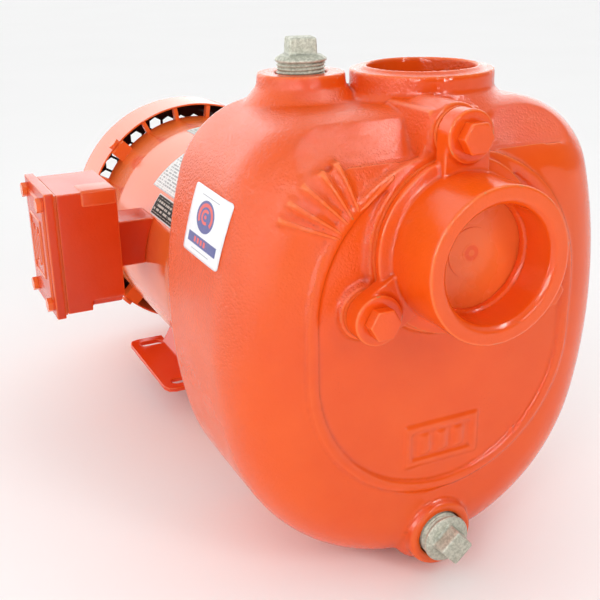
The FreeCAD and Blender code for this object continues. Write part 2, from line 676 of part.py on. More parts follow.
def impeller():
    """Semi-open impeller: a hub with a blind tapped hole, a rear shroud and four swept vanes."""
    tip = D.impeller_radius
    body = doc.addObject("PartDesign::Body", "impeller")
    profile = sketch_on(body, "impeller_profile", "XY_Plane")
    closed_outline(profile, [(0, -9), (5, -9), (9, -6), (12, 0), (tip, 0), (tip, 3.5), (14, 3.5), (14, 3.7),
                             (5.5, 3.7), (5.5, -4), (0, -4)])
    turn = body.newObject("PartDesign::Revolution", "impeller_hub")
    turn.Profile = profile
    turn.ReferenceAxis = (profile, ["V_Axis"])
    turn.Angle = 360
    doc.recompute()
    vane = sketch_on(body, "vane_profile", "XZ_Plane")
    closed_outline(vane, vane_outline(13, tip - 0.2, 70, 4.0))
    pad = body.newObject("PartDesign::Pad", "vane")
    pad.Profile = vane
    bind(pad, "Length", D.vane_height)
    doc.recompute()
    pattern = body.newObject("PartDesign::PolarPattern", "vanes")
    pattern.Originals = [pad]
    pattern.Axis = (vane, ["N_Axis"])
    pattern.Angle = 360
    pattern.Occurrences = 4
    body.Tip = pattern
    place(body, (0, SPIGOT_FRONT - 6, D.shaft_height))
    node(body, "impeller")


def coil_spring(name, label, radius, wire, start, end, turns):
    """Compression spring about the shaft: round wire swept along a helix."""
    length = number(end) - number(start) - wire
    helix = Part.makeHelix(length / turns, length, radius)
    circle = Part.Wire(Part.makeCircle(wire / 2, V(radius, 0, 0), V(0, 1, 0)))
    shape = Part.Wire(helix.Edges).makePipeShell([circle], True, True)
    spring = doc.addObject("Part::Feature", name)
    spring.Shape = shape
    place(spring, (0, start + wire / 2, D.shaft_height), TURN["Y"])
    return node(spring, label)


def adapter_and_seal():
    front = SPIGOT_FRONT
    flange_rear = D.casing_rear + 10
    face = D.face_y
    profile = [
        (22, front), (D.casing_mouth - 0.2, front), (D.casing_mouth - 0.2, front + 3), (81, front + 3),
        (81, front + 6.4), (D.casing_mouth - 0.2, front + 6.4), (D.casing_mouth - 0.2, D.casing_rear),
        (104, D.casing_rear), (104, flange_rear), (58, flange_rear), (58, face - 12), (83, face - 12), (83, face),
        (D.face_register + 0.1, face), (D.face_register + 0.1, face - 4.2), (46, face - 4.2),
        (46, SEAL_FACE + 14), (9.5, SEAL_FACE + 14), (9.5, SEAL_FACE + 6), (16, SEAL_FACE + 6),
        (16, SEAL_FACE - 2), (22, SEAL_FACE - 2),
    ]
    shell = turned("adapter_turned", profile)
    holes = []
    for angle in ADAPTER_BOLT_ANGLES:
        x, z = polar(ADAPTER_BOLT_CIRCLE, angle)
        holes.append(cylinder("adapter_clear_%d" % angle, 5.3, 14, (x, D.casing_rear - 2, z), "Y"))
    for angle in (45, 135, 225, 315):
        x, z = polar(D.face_bolt_radius, angle)
        holes.append(cylinder("face_clear_%d" % angle, 5.0, 34, (x, face - 32, z), "Y"))
        x, z = polar(72, angle)
        holes.append(cylinder("volute_tap_%d" % angle, 3.0, 12, (x, front - 1, z), "Y"))
    holes.append(cylinder("weep_hole", 5, 30, (0, face - 30, D.shaft_height - 70)))
    node(cut("adapter", shell, *holes), "adapter")
    node(ring("casing_o_ring", 81, D.casing_mouth, front + 3, front + 6.4), "casing_o_ring")

    adapter_bolts = []
    for angle in ADAPTER_BOLT_ANGLES:
        x, z = polar(ADAPTER_BOLT_CIRCLE, angle)
        adapter_bolts.append(hex_bolt("adapter_bolt_%d" % angle, 5.0, 25, 16, 7, (x, flange_rear, z), "-Y"))
    node(group("adapter_bolts", adapter_bolts), "adapter_bolts")

    face_bolts = []
    for angle in (45, 135, 225, 315):
        x, z = polar(D.face_bolt_radius, angle)
        face_bolts.append(hex_bolt("face_bolt_%d" % angle, 4.8, 28, 14.3, 6, (x, face - 12, z), "Y"))
    node(group("motor_face_bolts", face_bolts), "motor_face_bolts")

    node(ring("seal_seat", 9.5, 16, SEAL_FACE, SEAL_FACE + 6), "seal_seat")
    rotary = [(D.shaft_radius, SEAL_FACE - 6), (16, SEAL_FACE - 6), (16, SEAL_FACE - 2.5),
              (14, SEAL_FACE - 2.5), (14, SEAL_FACE - 0.1), (D.shaft_radius, SEAL_FACE - 0.1)]
    node(turned("seal_rotary", rotary), "seal_rotary")
    coil_spring("seal_spring", "seal_spring", 13.0, 1.2, SPIGOT_FRONT - 2.2, SEAL_FACE - 6, 4)
    node(ring("slinger", D.shaft_radius, 15, face - 34, face - 30), "slinger")


# ---------------------------------------------------------------------------------------------------------------
# Motor
# ---------------------------------------------------------------------------------------------------------------

BEARING_FRONT = D.face_y + 10
BEARING_REAR = D.bell_rear - 18
SCREW_ANGLES = (45, 135, 225, 315)
THROUGH_BOLT_ANGLES = (0, 90, 180, 270)
THROUGH_BOLT_CIRCLE = 76.5


def motor_rotor():
    seat = D.bearing_bore
    outline = [
        (0, SPIGOT_FRONT - 9.8), (5.4, SPIGOT_FRONT - 9.8), (5.4, SPIGOT_FRONT - 2.2),
        (D.shaft_radius, SPIGOT_FRONT - 2.2), (D.shaft_radius, BEARING_FRONT - 1), (seat, BEARING_FRONT - 1),
        (seat, BEARING_FRONT + D.bearing_width), (11, BEARING_FRONT + D.bearing_width), (11, BEARING_REAR),
        (seat, BEARING_REAR), (seat, BEARING_REAR + D.bearing_width), (7, BEARING_REAR + D.bearing_width),
        (7, D.bell_rear + 31), (0, D.bell_rear + 31),
    ]
    node(turned("motor_shaft", outline), "motor_shaft")
    node(ring("rotor_core", 11, D.rotor_radius, D.core_front, D.core_rear), "rotor_core")
    ends = [ring("rotor_end_ring_front", 30, 44, D.core_front - 8, D.core_front),
            ring("rotor_end_ring_rear", 30, 44, D.core_rear, D.core_rear + 8)]
    node(group("rotor_end_rings", ends), "rotor_end_rings")


def bearing(where, start):
    """Deep-groove ball bearing: outer ring, inner ring and eight balls."""
    pitch = (D.bearing_bore + D.bearing_outer) / 2
    middle = start + D.bearing_width / 2
    end = start + D.bearing_width

    def groove(part, radius):
        torus = doc.addObject("Part::Torus", "%s_%s_groove" % (where, part))
        bind(torus, "Radius1", pitch)
        bind(torus, "Radius2", radius)
        place(torus, (0, middle, D.shaft_height), TURN["Y"])
        return torus

    outer = ring(where + "_outer_blank", pitch + 2.2, D.bearing_outer, start, end)
    inner = ring(where + "_inner_blank", D.bearing_bore, pitch - 2.2, start, end)
    node(cut(where + "_outer", outer, groove("outer", 3.8)), where + "_outer_ring")
    node(cut(where + "_inner", inner, groove("inner", 3.55)), where + "_inner_ring")
    balls = []
    for k in range(8):
        ball = doc.addObject("Part::Sphere", "%s_ball_%d" % (where, k + 1))
        ball.Radius = 3.5
        x, z = polar(pitch, 45 * k)
        place(ball, (x, middle, z))
        balls.append(ball)
    node(group(where + "_balls", balls), where + "_balls")


def end_bells():
    shell_inside = D.shell_radius - D.shell_wall
    face = D.face_y
    front_profile = [
        (9.5, face - 4), (D.face_register, face - 4), (D.face_register, face), (D.shell_radius, face),
        (D.shell_radius, D.shell_front), (shell_inside, D.shell_front), (shell_inside, D.shell_front + 10),
        (73, D.shell_front + 10), (73, face + 8), (28, face + 8), (28, BEARING_FRONT + D.bearing_width),
        (D.bearing_outer, BEARING_FRONT + D.bearing_width), (D.bearing_outer, BEARING_FRONT),
        (9.5, BEARING_FRONT),
    ]
    front = turned("front_bell_turned", front_profile)
    bosses = []
    holes = []
    for angle in SCREW_ANGLES:
        x, z = polar(72, angle)
        bosses.append(cylinder("face_boss_%d" % angle, 8.5, 24, (x, face + 1, z), "Y"))
        x, z = polar(D.face_bolt_radius, angle)
        holes.append(cylinder("face_tap_%d" % angle, 4.8, 19, (x, face - 1, z), "Y"))
    for angle in THROUGH_BOLT_ANGLES:
        x, z = polar(THROUGH_BOLT_CIRCLE, angle)
        holes.append(cylinder("through_tap_%d" % angle, 2.4, 30, (x, D.shell_front - 18, z), "Y"))
    node(cut("front_end_bell", fuse("front_bell_metal", front, *bosses), *holes), "front_end_bell")

    rear = D.bell_rear
    rear_profile = [
        (9.5, rear), (D.shell_radius, rear), (D.shell_radius, D.shell_rear), (shell_inside, D.shell_rear),
        (shell_inside, D.shell_rear - 8), (73, D.shell_rear - 8), (73, rear - 6), (28, rear - 6),
        (28, BEARING_REAR), (D.bearing_outer, BEARING_REAR), (D.bearing_outer, rear - 4), (9.5, rear - 4),
    ]
    bell = turned("rear_bell_turned", rear_profile)
    reach = D.cover_radius - D.cover_sheet
    fins = []
    screw_holes = []
    for k in range(20):
        angle = 9 + 18 * k
        wide = angle % 90 == 45
        half = 6.5 if wide else 1.6
        start = D.shell_radius - 2
        tip = reach if wide else reach - 0.5
        length = D.bell_rear - D.cover_front + (4 if wide else -1)
        rotation = FreeCAD.Rotation(V(0, 1, 0), -angle)
        corner = rotation.multVec(V(number(start), 0, -half))
        fins.append(block("bell_fin_%d" % angle, (tip - start, length, 2 * half),
                          (corner.x, rear - length, D.shaft_height + corner.z), rotation))
    limit = cylinder("bell_fin_limit", reach, 60, (0, rear - 50, D.shaft_height), "Y")
    fin_ring = common("bell_fins", fuse("bell_fin_lumps", *fins), limit)
    for angle in SCREW_ANGLES:
        x, z = polar(D.cover_radius + 2, angle)
        hole = cylinder("cover_tap_%d" % angle, 2.4, 16, (x, rear - 3, z))
        hole.Placement.Rotation = FreeCAD.Rotation(V(0, 0, 1), V(-math.cos(math.radians(angle)), 0,
                                                                   -math.sin(math.radians(angle))))
        screw_holes.append(hole)
    for angle in THROUGH_BOLT_ANGLES:
        x, z = polar(THROUGH_BOLT_CIRCLE, angle)
        screw_holes.append(cylinder("through_clear_%d" % angle, 2.6, 60, (x, D.shell_rear - 12, z), "Y"))
    node(cut("rear_end_bell", fuse("rear_bell_metal", bell, fin_ring), *screw_holes), "rear_end_bell")
    node(ring("wave_washer", 17, 19.6, BEARING_REAR + D.bearing_width, BEARING_REAR + D.bearing_width + 1),
         "wave_washer")


def motor_shell_and_stator():
    shell_inside = D.shell_radius - D.shell_wall
    tube = ring("shell_tube", shell_inside, D.shell_radius, D.shell_front, D.shell_rear)
    lead_z = D.shaft_height + D.lead_rise
    lead_hole = cylinder("shell_lead_hole", 6, 20, (-D.shell_radius - 6, D.lead_y, lead_z), "X")
    node(cut("motor_shell", tube, lead_hole), "motor_shell")
    bore = D.rotor_radius + D.air_gap
    core = ring("stator_blank", bore, shell_inside, D.core_front, D.core_rear)
    notches = [block("stator_lead_way", (18, 34, 14), (-D.shell_radius - 9, D.core_front - 2, lead_z - 7))]
    bolts = []
    bolt_start = D.shell_front - 16
    for angle in THROUGH_BOLT_ANGLES:
        x, z = polar(THROUGH_BOLT_CIRCLE, angle)
        notches.append(cylinder("stator_notch_%d" % angle, 2.6, 100, (x, D.core_front - 5, z), "Y"))
        bolts.append(hex_bolt("through_bolt_%d" % angle, 2.4, D.bell_rear - bolt_start, 8, 4,
                              (x, D.bell_rear, z), "-Y"))
    node(cut("stator_core", core, *notches), "stator_core")
    node(group("through_bolts", bolts), "through_bolts")
    for where, start, end in (("front", D.core_front - 16, D.core_front), ("rear", D.core_rear, D.core_rear + 16)):
        slope = 4
        outline = [(50, start + slope), (50 + slope, start), (70 - slope, start), (70, start + slope),
                   (70, end), (50, end)]
        if where == "rear":
            outline = [(50, start), (70, start), (70, end - slope), (70 - slope, end), (50 + slope, end),
                       (50, end - slope)]
        node(turned("winding_" + where, outline), "stator_winding_" + where)


def hexagon_holes(name, pitch, across_flats, reach, depth, at_y):
    """Hexagon holes on a triangular grid inside a circle, as one cutting tool."""
    prisms = []
    rows = int(reach / (pitch * math.sqrt(3) / 2))
    corner_radius = across_flats / math.sqrt(3)
    for row in range(-rows, rows + 1):
        z = row * pitch * math.sqrt(3) / 2
        columns = int(reach / pitch) + 1
        for column in range(-columns, columns + 1):
            x = (column + 0.5 * (row % 2)) * pitch
            if math.hypot(x, z) > reach:
                continue
            corners = [V(x + corner_radius * math.cos(math.radians(60 * k + 30)), 0,
                         z + corner_radius * math.sin(math.radians(60 * k + 30))) for k in range(7)]
            prisms.append(Part.Face(Part.makePolygon(corners)).extrude(V(0, depth, 0)))
    tool = doc.addObject("Part::Feature", name)
    tool.Shape = Part.Compound(prisms)
    place(tool, (0, at_y, D.shaft_height))
    return tool


def fan_and_cover():
    outer = D.cover_radius
    sheet_thickness = D.cover_sheet
    inner = outer - sheet_thickness
    front = D.cover_front
    rear = D.cover_rear
    body = doc.addObject("PartDesign::Body", "cover_cup")
    sketch = sketch_on(body, "cover_profile", "XY_Plane")
    closed_outline(sketch, [(inner, front), (outer, front), (outer, rear), (0, rear),
                            (0, rear - sheet_thickness), (inner, rear - sheet_thickness)])
    turn = body.newObject("PartDesign::Revolution", "cover_turn")
    turn.Profile = sketch
    turn.ReferenceAxis = (sketch, ["V_Axis"])
    turn.Angle = 360
    doc.recompute()
    rims = {"outer": [], "inner": []}
    for index, edge in enumerate(turn.Shape.Edges, start=1):
        if not hasattr(edge.Curve, "Radius"):
            continue
        y = edge.Vertexes[0].Point.y
        if abs(y - number(rear)) < 1e-4 and abs(edge.Curve.Radius - number(outer)) < 1e-4:
            rims["outer"].append("Edge%d" % index)
        if abs(y - number(rear - sheet_thickness)) < 1e-4 and abs(edge.Curve.Radius - number(inner)) < 1e-4:
            rims["inner"].append("Edge%d" % index)
    rounding = body.newObject("PartDesign::Fillet", "cover_inner_rounding")
    rounding.Base = (turn, rims["inner"])
    rounding.Radius = 8.8
    doc.recompute()
    names = []
    for index, edge in enumerate(rounding.Shape.Edges, start=1):
        if not hasattr(edge.Curve, "Radius"):
            continue
        y = edge.Vertexes[0].Point.y
        if abs(y - number(rear)) < 1e-4 and abs(edge.Curve.Radius - number(outer)) < 1e-4:
            names.append("Edge%d" % index)
    outside = body.newObject("PartDesign::Fillet", "cover_outer_rounding")
    outside.Base = (rounding, names)
    outside.Radius = 10
    body.Tip = outside
    place(body, (0, 0, D.shaft_height))
    grille = hexagon_holes("grille_holes", 11.5, 9.6, 72.0, 6, rear - 4)
    screw_holes = []
    screws = []
    for angle in SCREW_ANGLES:
        inward = V(-math.cos(math.radians(angle)), 0, -math.sin(math.radians(angle)))
        x, z = polar(outer + 2, angle)
        rotation = FreeCAD.Rotation(V(0, 0, 1), inward)
        hole = cylinder("cover_hole_%d" % angle, 2.6, 6, (x, D.bell_rear - 3, z))
        hole.Placement.Rotation = rotation
        screw_holes.append(hole)
        x, z = polar(outer, angle)
        shank = cylinder("cover_screw_shank_%d" % angle, 2.4, 10, (x, D.bell_rear - 3, z))
        shank.Placement.Rotation = rotation
        head = cylinder("cover_screw_head_%d" % angle, 4.4, 2.6, (x, D.bell_rear - 3, z))
        head.Placement.Rotation = FreeCAD.Rotation(V(0, 0, 1), -inward)
        screws.append(fuse("cover_screw_%d" % angle, shank, head))
    node(cut("fan_cover", body, grille, *screw_holes), "fan_cover")
    node(group("fan_cover_screws", screws), "fan_cover_screws")

    fan = doc.addObject("PartDesign::Body", "cooling_fan")
    start = D.bell_rear + 10
    profile = sketch_on(fan, "fan_profile", "XY_Plane")
    closed_outline(profile, [(7, 0), (66, 0), (66, 2.5), (14, 2.5), (14, 18), (7, 18)])
    hub = fan.newObject("PartDesign::Revolution", "fan_hub")
    hub.Profile = profile
    hub.ReferenceAxis = (profile, ["V_Axis"])
    hub.Angle = 360
    doc.recompute()
    blade_sketch = sketch_on(fan, "blade_profile", "XZ_Plane")
    closed_outline(blade_sketch, [(18, -1.1), (66, -1.1), (66, 1.1), (18, 1.1)])
    blade = fan.newObject("PartDesign::Pad", "blade")
    blade.Profile = blade_sketch
    blade.Length = 22
    blade.Reversed = True
    doc.recompute()
    blades = fan.newObject("PartDesign::PolarPattern", "blades")
    blades.Originals = [blade]
    blades.Axis = (blade_sketch, ["N_Axis"])
    blades.Angle = 360
    blades.Occurrences = 9
    fan.Tip = blades
    place(fan, (0, start, D.shaft_height))
    node(fan, "cooling_fan")


def motor_base():
    """Bent sheet: two flat feet with slots, and a cradle that rises to the shell between them."""
    half = D.base_width / 2
    sheet_thickness = D.base_sheet
    foot_inner = 50.0
    contact = 42.0
    cradle_z = D.shaft_height - math.sqrt(number(D.shell_radius) ** 2 - contact ** 2)
    bottom_z = D.shaft_height - D.shell_radius
    reach = D.base_length / 2
    corner = []
    for across, up in ((1, 1), (-1, 1), (-1, -1), (1, -1)):
        clipped = [(half * across - 7 * across, reach * up), (half * across - 2 * across, reach * up - 2 * up),
                   (half * across, reach * up - 7 * up)]
        corner.extend(clipped if across * up < 0 else clipped[::-1])
    feet = extruded("feet_plate", corner, sheet_thickness, plane="XY_Plane")
    gap = block("feet_gap", (2 * foot_inner, D.base_length + 2, 12), (-foot_inner, -D.base_length / 2 - 1, -4))
    feet = cut("feet", feet, gap)
    webs = []
    for side in (-1, 1):
        outline = [(side * foot_inner, 0), (side * (foot_inner + 3), 0), (side * (foot_inner + 3), sheet_thickness),
                   (side * contact, cradle_z + 1.5), (side * (contact - 6), cradle_z - 2.6),
                   (side * (foot_inner - 1.5), 0.8)]
        webs.append(extruded("cradle_web_%s" % ("left" if side < 0 else "right"), outline,
                             D.base_length - 24, (0, -D.base_length / 2 + 12, 0)))
    saddle_outline = [(-contact, bottom_z - 5), (contact, bottom_z - 5), (contact, cradle_z + 1.5),
                      (-contact, cradle_z + 1.5)]
    saddle_block = extruded("saddle_block", saddle_outline, D.base_length - 24,
                            (0, -D.base_length / 2 + 12, 0))
    saddle_ring = cut("saddle_ring",
                      cylinder("saddle_outer", D.shell_radius + 3, 200, (0, -100, D.shaft_height), "Y"),
                      cylinder("saddle_inner", D.shell_radius, 210, (0, -105, D.shaft_height), "Y"))
    saddle = common("saddle", saddle_ring, saddle_block)
    shell_space = cylinder("base_shell_space", D.shell_radius, 210, (0, -105, D.shaft_height), "Y")
    metal = cut("base_metal", fuse("base_sheet_metal", feet, saddle, *webs), shell_space)
    slots = []
    radius = D.slot_width / 2
    straight = D.slot_length - D.slot_width
    for side in (-1, 1):
        for end in (-1, 1):
            x = side * D.slot_spacing_across / 2
            y = end * D.slot_spacing_along / 2
            tag = "%s_%s" % ("left" if side < 0 else "right", "front" if end < 0 else "rear")
            slots.append(block("slot_middle_" + tag, (straight, D.slot_width, 12),
                               (x - straight / 2, y - radius, -4)))
            slots.append(cylinder("slot_start_" + tag, radius, 12, (x - straight / 2, y, -4)))
            slots.append(cylinder("slot_end_" + tag, radius, 12, (x + straight / 2, y, -4)))
    node(cut("motor_base", metal, *slots), "motor_base")


def conduit_box():
    """Open box on a short neck, with a gasket, a pressed cover and four corner screws."""
    wall = D.box_wall
    depth = D.box_inner_x - D.box_outer_x
    outer = block("box_outer", (depth, D.box_length, D.box_height), (D.box_outer_x, D.box_front, D.box_bottom))
    inner = block("box_inner", (depth, D.box_length - 2 * wall, D.box_height - 2 * wall),
                  (D.box_outer_x - wall, D.box_front + wall, D.box_bottom + wall))
    neck_y = D.box_front + 26
    neck_z = D.shaft_height + 5
    neck_outer = block("neck_outer", (40, 30, 32), (D.box_inner_x - 1, neck_y, neck_z))
    neck_inner = block("neck_inner", (60, 24, 26), (D.box_inner_x - 10, neck_y + 3, neck_z + 3))
    shell_space = cylinder("neck_shell_space", D.shell_radius, 200, (0, -100, D.shaft_height), "Y")
    posts = []
    post_holes = []
    screws = []
    cover_screw_holes = []
    cover_outer = D.box_outer_x - 7.5
    for side_y, y in (("front", D.box_front + 6.5), ("rear", D.box_front + D.box_length - 6.5)):
        for side_z, z in (("low", D.box_bottom + 6.5), ("high", D.box_bottom + D.box_height - 6.5)):
            tag = side_y + "_" + side_z
            posts.append(cylinder("box_post_" + tag, 5, depth - 1, (D.box_outer_x, y, z), "X"))
            post_holes.append(cylinder("box_post_hole_" + tag, 2.2, 20, (D.box_outer_x - 1, y, z), "X"))
            cover_screw_holes.append(cylinder("cover_clear_" + tag, 2.4, 20, (cover_outer - 2, y, z), "X"))
            shank = cylinder("box_screw_shank_" + tag, 2.2, 22, (cover_outer, y, z), "X")
            head = prism("box_screw_head_" + tag, 8.4, 4.2, (cover_outer, y, z), "-X")
            screws.append(fuse("box_screw_" + tag, shank, head))
    knockout = cylinder("knockout", D.knockout_radius, 12,
                        (D.box_inner_x - 19, D.box_front + D.box_length / 2, D.box_bottom - 4))
    step_wall = block("box_step_wall", (24, 14, 9), (D.box_inner_x - 24, D.box_front, D.box_bottom))
    step = block("box_step", (30, 16, 10), (D.box_inner_x - 22, D.box_front - 4, D.box_bottom - 3.5))
    walls = cut("box_walls", fuse("box_hollow_with_step", cut("box_hollow", outer, inner), step_wall), step)
    necked = cut("box_necked", fuse("box_and_neck", walls, neck_outer), shell_space, neck_inner)
    screw_at = (D.box_inner_x - wall, D.box_front + 48, D.box_bottom + D.box_height - 16)
    screw_hole = cylinder("ground_screw_hole", 2.4, 8, (D.box_inner_x - wall - 4, screw_at[1], screw_at[2]), "X")
    node(cut("conduit_box", fuse("box_with_posts", necked, *posts), knockout, screw_hole, *post_holes),
         "conduit_box")

    gasket_outer = block("box_gasket_outer", (1.5, D.box_length, D.box_height),
                         (D.box_outer_x - 1.5, D.box_front, D.box_bottom))
    gasket_inner = block("box_gasket_inner", (4, D.box_length - 26, D.box_height - 26),
                         (D.box_outer_x - 3, D.box_front + 13, D.box_bottom + 13))
    node(cut("conduit_gasket", gasket_outer, gasket_inner, *gasket_hole_tools()), "conduit_gasket")

    plate = block("cover_plate", (6, D.box_length + 4, D.box_height + 4),
                  (cover_outer, D.box_front - 2, D.box_bottom - 2))
    hollow = block("cover_hollow", (4, D.box_length - 24, D.box_height - 24),
                   (cover_outer + 2.2, D.box_front + 12, D.box_bottom + 12))
    node(cut("conduit_cover", plate, hollow, *cover_screw_holes), "conduit_cover")
    node(group("conduit_cover_screws", screws), "conduit_cover_screws")

    bushing_x = -D.shell_radius - 4
    bushing = [(4, 0), (7.6, 0), (7.6, 4), (5.8, 4), (5.8, 12), (4, 12)]
    body = turned("lead_bushing_turned", bushing, (bushing_x, D.lead_y, D.shaft_height + D.lead_rise), along="Y")
    body.Placement.Rotation = FreeCAD.Rotation(V(0, 0, 1), -90)
    space = cylinder("bushing_space", D.shell_radius - D.shell_wall, 200, (0, -100, D.shaft_height), "Y")
    node(cut("lead_bushing", body, space), "lead_bushing")
    node(hex_bolt("ground_screw_metal", 2.4, 5, 8, 3, screw_at, "X"), "ground_screw")


def gasket_hole_tools():
    tools = []
    for side_y, y in (("front", D.box_front + 6.5), ("rear", D.box_front + D.box_length - 6.5)):
        for side_z, z in (("low", D.box_bottom + 6.5), ("high", D.box_bottom + D.box_height - 6.5)):
            tools.append(cylinder("gasket_clear_%s_%s" % (side_y, side_z), 2.4, 8, (D.box_outer_x - 4, y, z), "X"))
    return tools


def shell_label(name, start_degrees, end_degrees, start_y, end_y):
    """A thin label wrapped round the shell between two angles, measured from +X towards +Z."""
    reach = number(D.shell_radius) * 1.3
    thickness = 0.25
    layer = ring(name + "_layer", D.shell_radius, D.shell_radius + thickness, start_y, end_y)
    corners = [(0, 0)]
    for turn in (start_degrees, (start_degrees + end_degrees) / 2, end_degrees):
        corners.append((reach * math.cos(math.radians(turn)), reach * math.sin(math.radians(turn))))
    sector = extruded(name + "_sector", corners, 200, (0, -100, D.shaft_height))
    node(common(name, layer, sector), name)


def casing_label(casing_block):
    """A paper label on the casing's left shoulder, tilted with the surface it is stuck to."""
    skin = rounded_casing_block("label_skin", 0.3, D.casing_front - 0.3, D.casing_rear, D.front_rounding + 0.3, None)
    layer = cut("label_layer", skin, casing_block)
    tilt = FreeCAD.Rotation(V(1, 0, 0), 6)
    corner = tilt.multVec(V(0, -23, -17))
    patch = block("label_patch", (60, 46, 34),
                  (-135 + corner.x, -229 + corner.y, D.shaft_height + 87 + corner.z), tilt)
    node(common("casing_label", layer, patch), "casing_label")


# ---------------------------------------------------------------------------------------------------------------
# Assembly
# ---------------------------------------------------------------------------------------------------------------

def build():
    casing_block = pump_casing()
    suction_flange()
    check_valve()
    pipe_plug("fill_plug", (D.fill_x, D.fill_y, D.shaft_height + D.boss_rise), "Z")
    pipe_plug("drain_plug", (0, D.drain_face, D.shaft_height - D.drain_drop), "-Y")
    volute_and_bolts()
    impeller()
    adapter_and_seal()
    motor_rotor()
    bearing("front_bearing", BEARING_FRONT)
    bearing("rear_bearing", BEARING_REAR)
    end_bells()
    motor_shell_and_stator()
    fan_and_cover()
    motor_base()
    conduit_box()
    shell_label("rating_plate", 115, 140, -57, 0)
    shell_label("wiring_label", 141.5, 152.5, -68, -20)
    shell_label("notice_label", 86, 104, 24, 46)
    casing_label(casing_block)


def check_and_export():
    doc.recompute()
    for obj in doc.Objects:
        if "Invalid" in obj.State or "Error" in obj.State:
            raise RuntimeError("%s is %s" % (obj.Name, obj.State))
    for label, obj in nodes.items():
        shape = obj.Shape
        if shape.isNull() or not shape.isValid() or not shape.Solids:
            raise RuntimeError("%s has no valid solid" % label)
    os.makedirs("parts", exist_ok=True)
    for label, obj in nodes.items():
        obj.Shape.exportStep("parts/%s.step" % label)
        box = obj.Shape.BoundBox
        print("%-24s %2d solid %10.1f mm3  x %.1f..%.1f y %.1f..%.1f z %.1f..%.1f" % (
            label, len(obj.Shape.Solids), obj.Shape.Volume, box.XMin, box.XMax, box.YMin, box.YMax,
            box.ZMin, box.ZMax))


build()
check_and_export()
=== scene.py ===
import math
import random

import bmesh
import bpy
from mathutils import Matrix, Vector
from mathutils.bvhtree import BVHTree


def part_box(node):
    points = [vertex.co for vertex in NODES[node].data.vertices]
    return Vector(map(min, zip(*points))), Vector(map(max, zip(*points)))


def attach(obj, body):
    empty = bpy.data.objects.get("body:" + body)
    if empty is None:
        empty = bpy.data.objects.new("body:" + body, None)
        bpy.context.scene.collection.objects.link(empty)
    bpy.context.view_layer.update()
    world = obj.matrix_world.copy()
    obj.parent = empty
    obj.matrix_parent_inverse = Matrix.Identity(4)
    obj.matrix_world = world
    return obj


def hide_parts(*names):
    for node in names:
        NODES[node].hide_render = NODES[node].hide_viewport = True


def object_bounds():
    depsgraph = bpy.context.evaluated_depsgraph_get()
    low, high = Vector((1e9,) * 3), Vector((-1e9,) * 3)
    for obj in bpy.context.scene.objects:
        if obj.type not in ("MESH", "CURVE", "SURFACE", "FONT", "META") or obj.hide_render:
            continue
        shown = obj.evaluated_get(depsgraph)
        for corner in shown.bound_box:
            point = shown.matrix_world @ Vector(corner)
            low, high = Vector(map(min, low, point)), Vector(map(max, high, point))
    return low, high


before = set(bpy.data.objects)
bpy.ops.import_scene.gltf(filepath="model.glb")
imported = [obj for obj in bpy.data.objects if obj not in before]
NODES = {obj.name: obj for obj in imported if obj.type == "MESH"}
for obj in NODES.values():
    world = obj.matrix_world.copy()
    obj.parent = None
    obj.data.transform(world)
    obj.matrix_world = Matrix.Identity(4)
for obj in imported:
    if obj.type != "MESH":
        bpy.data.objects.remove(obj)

CAD_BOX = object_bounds()
SHAFT_Z = 0.0889
SHELL_RADIUS = 0.081

# --------------------------------------------------------------------------------------------------
# Materials
# --------------------------------------------------------------------------------------------------


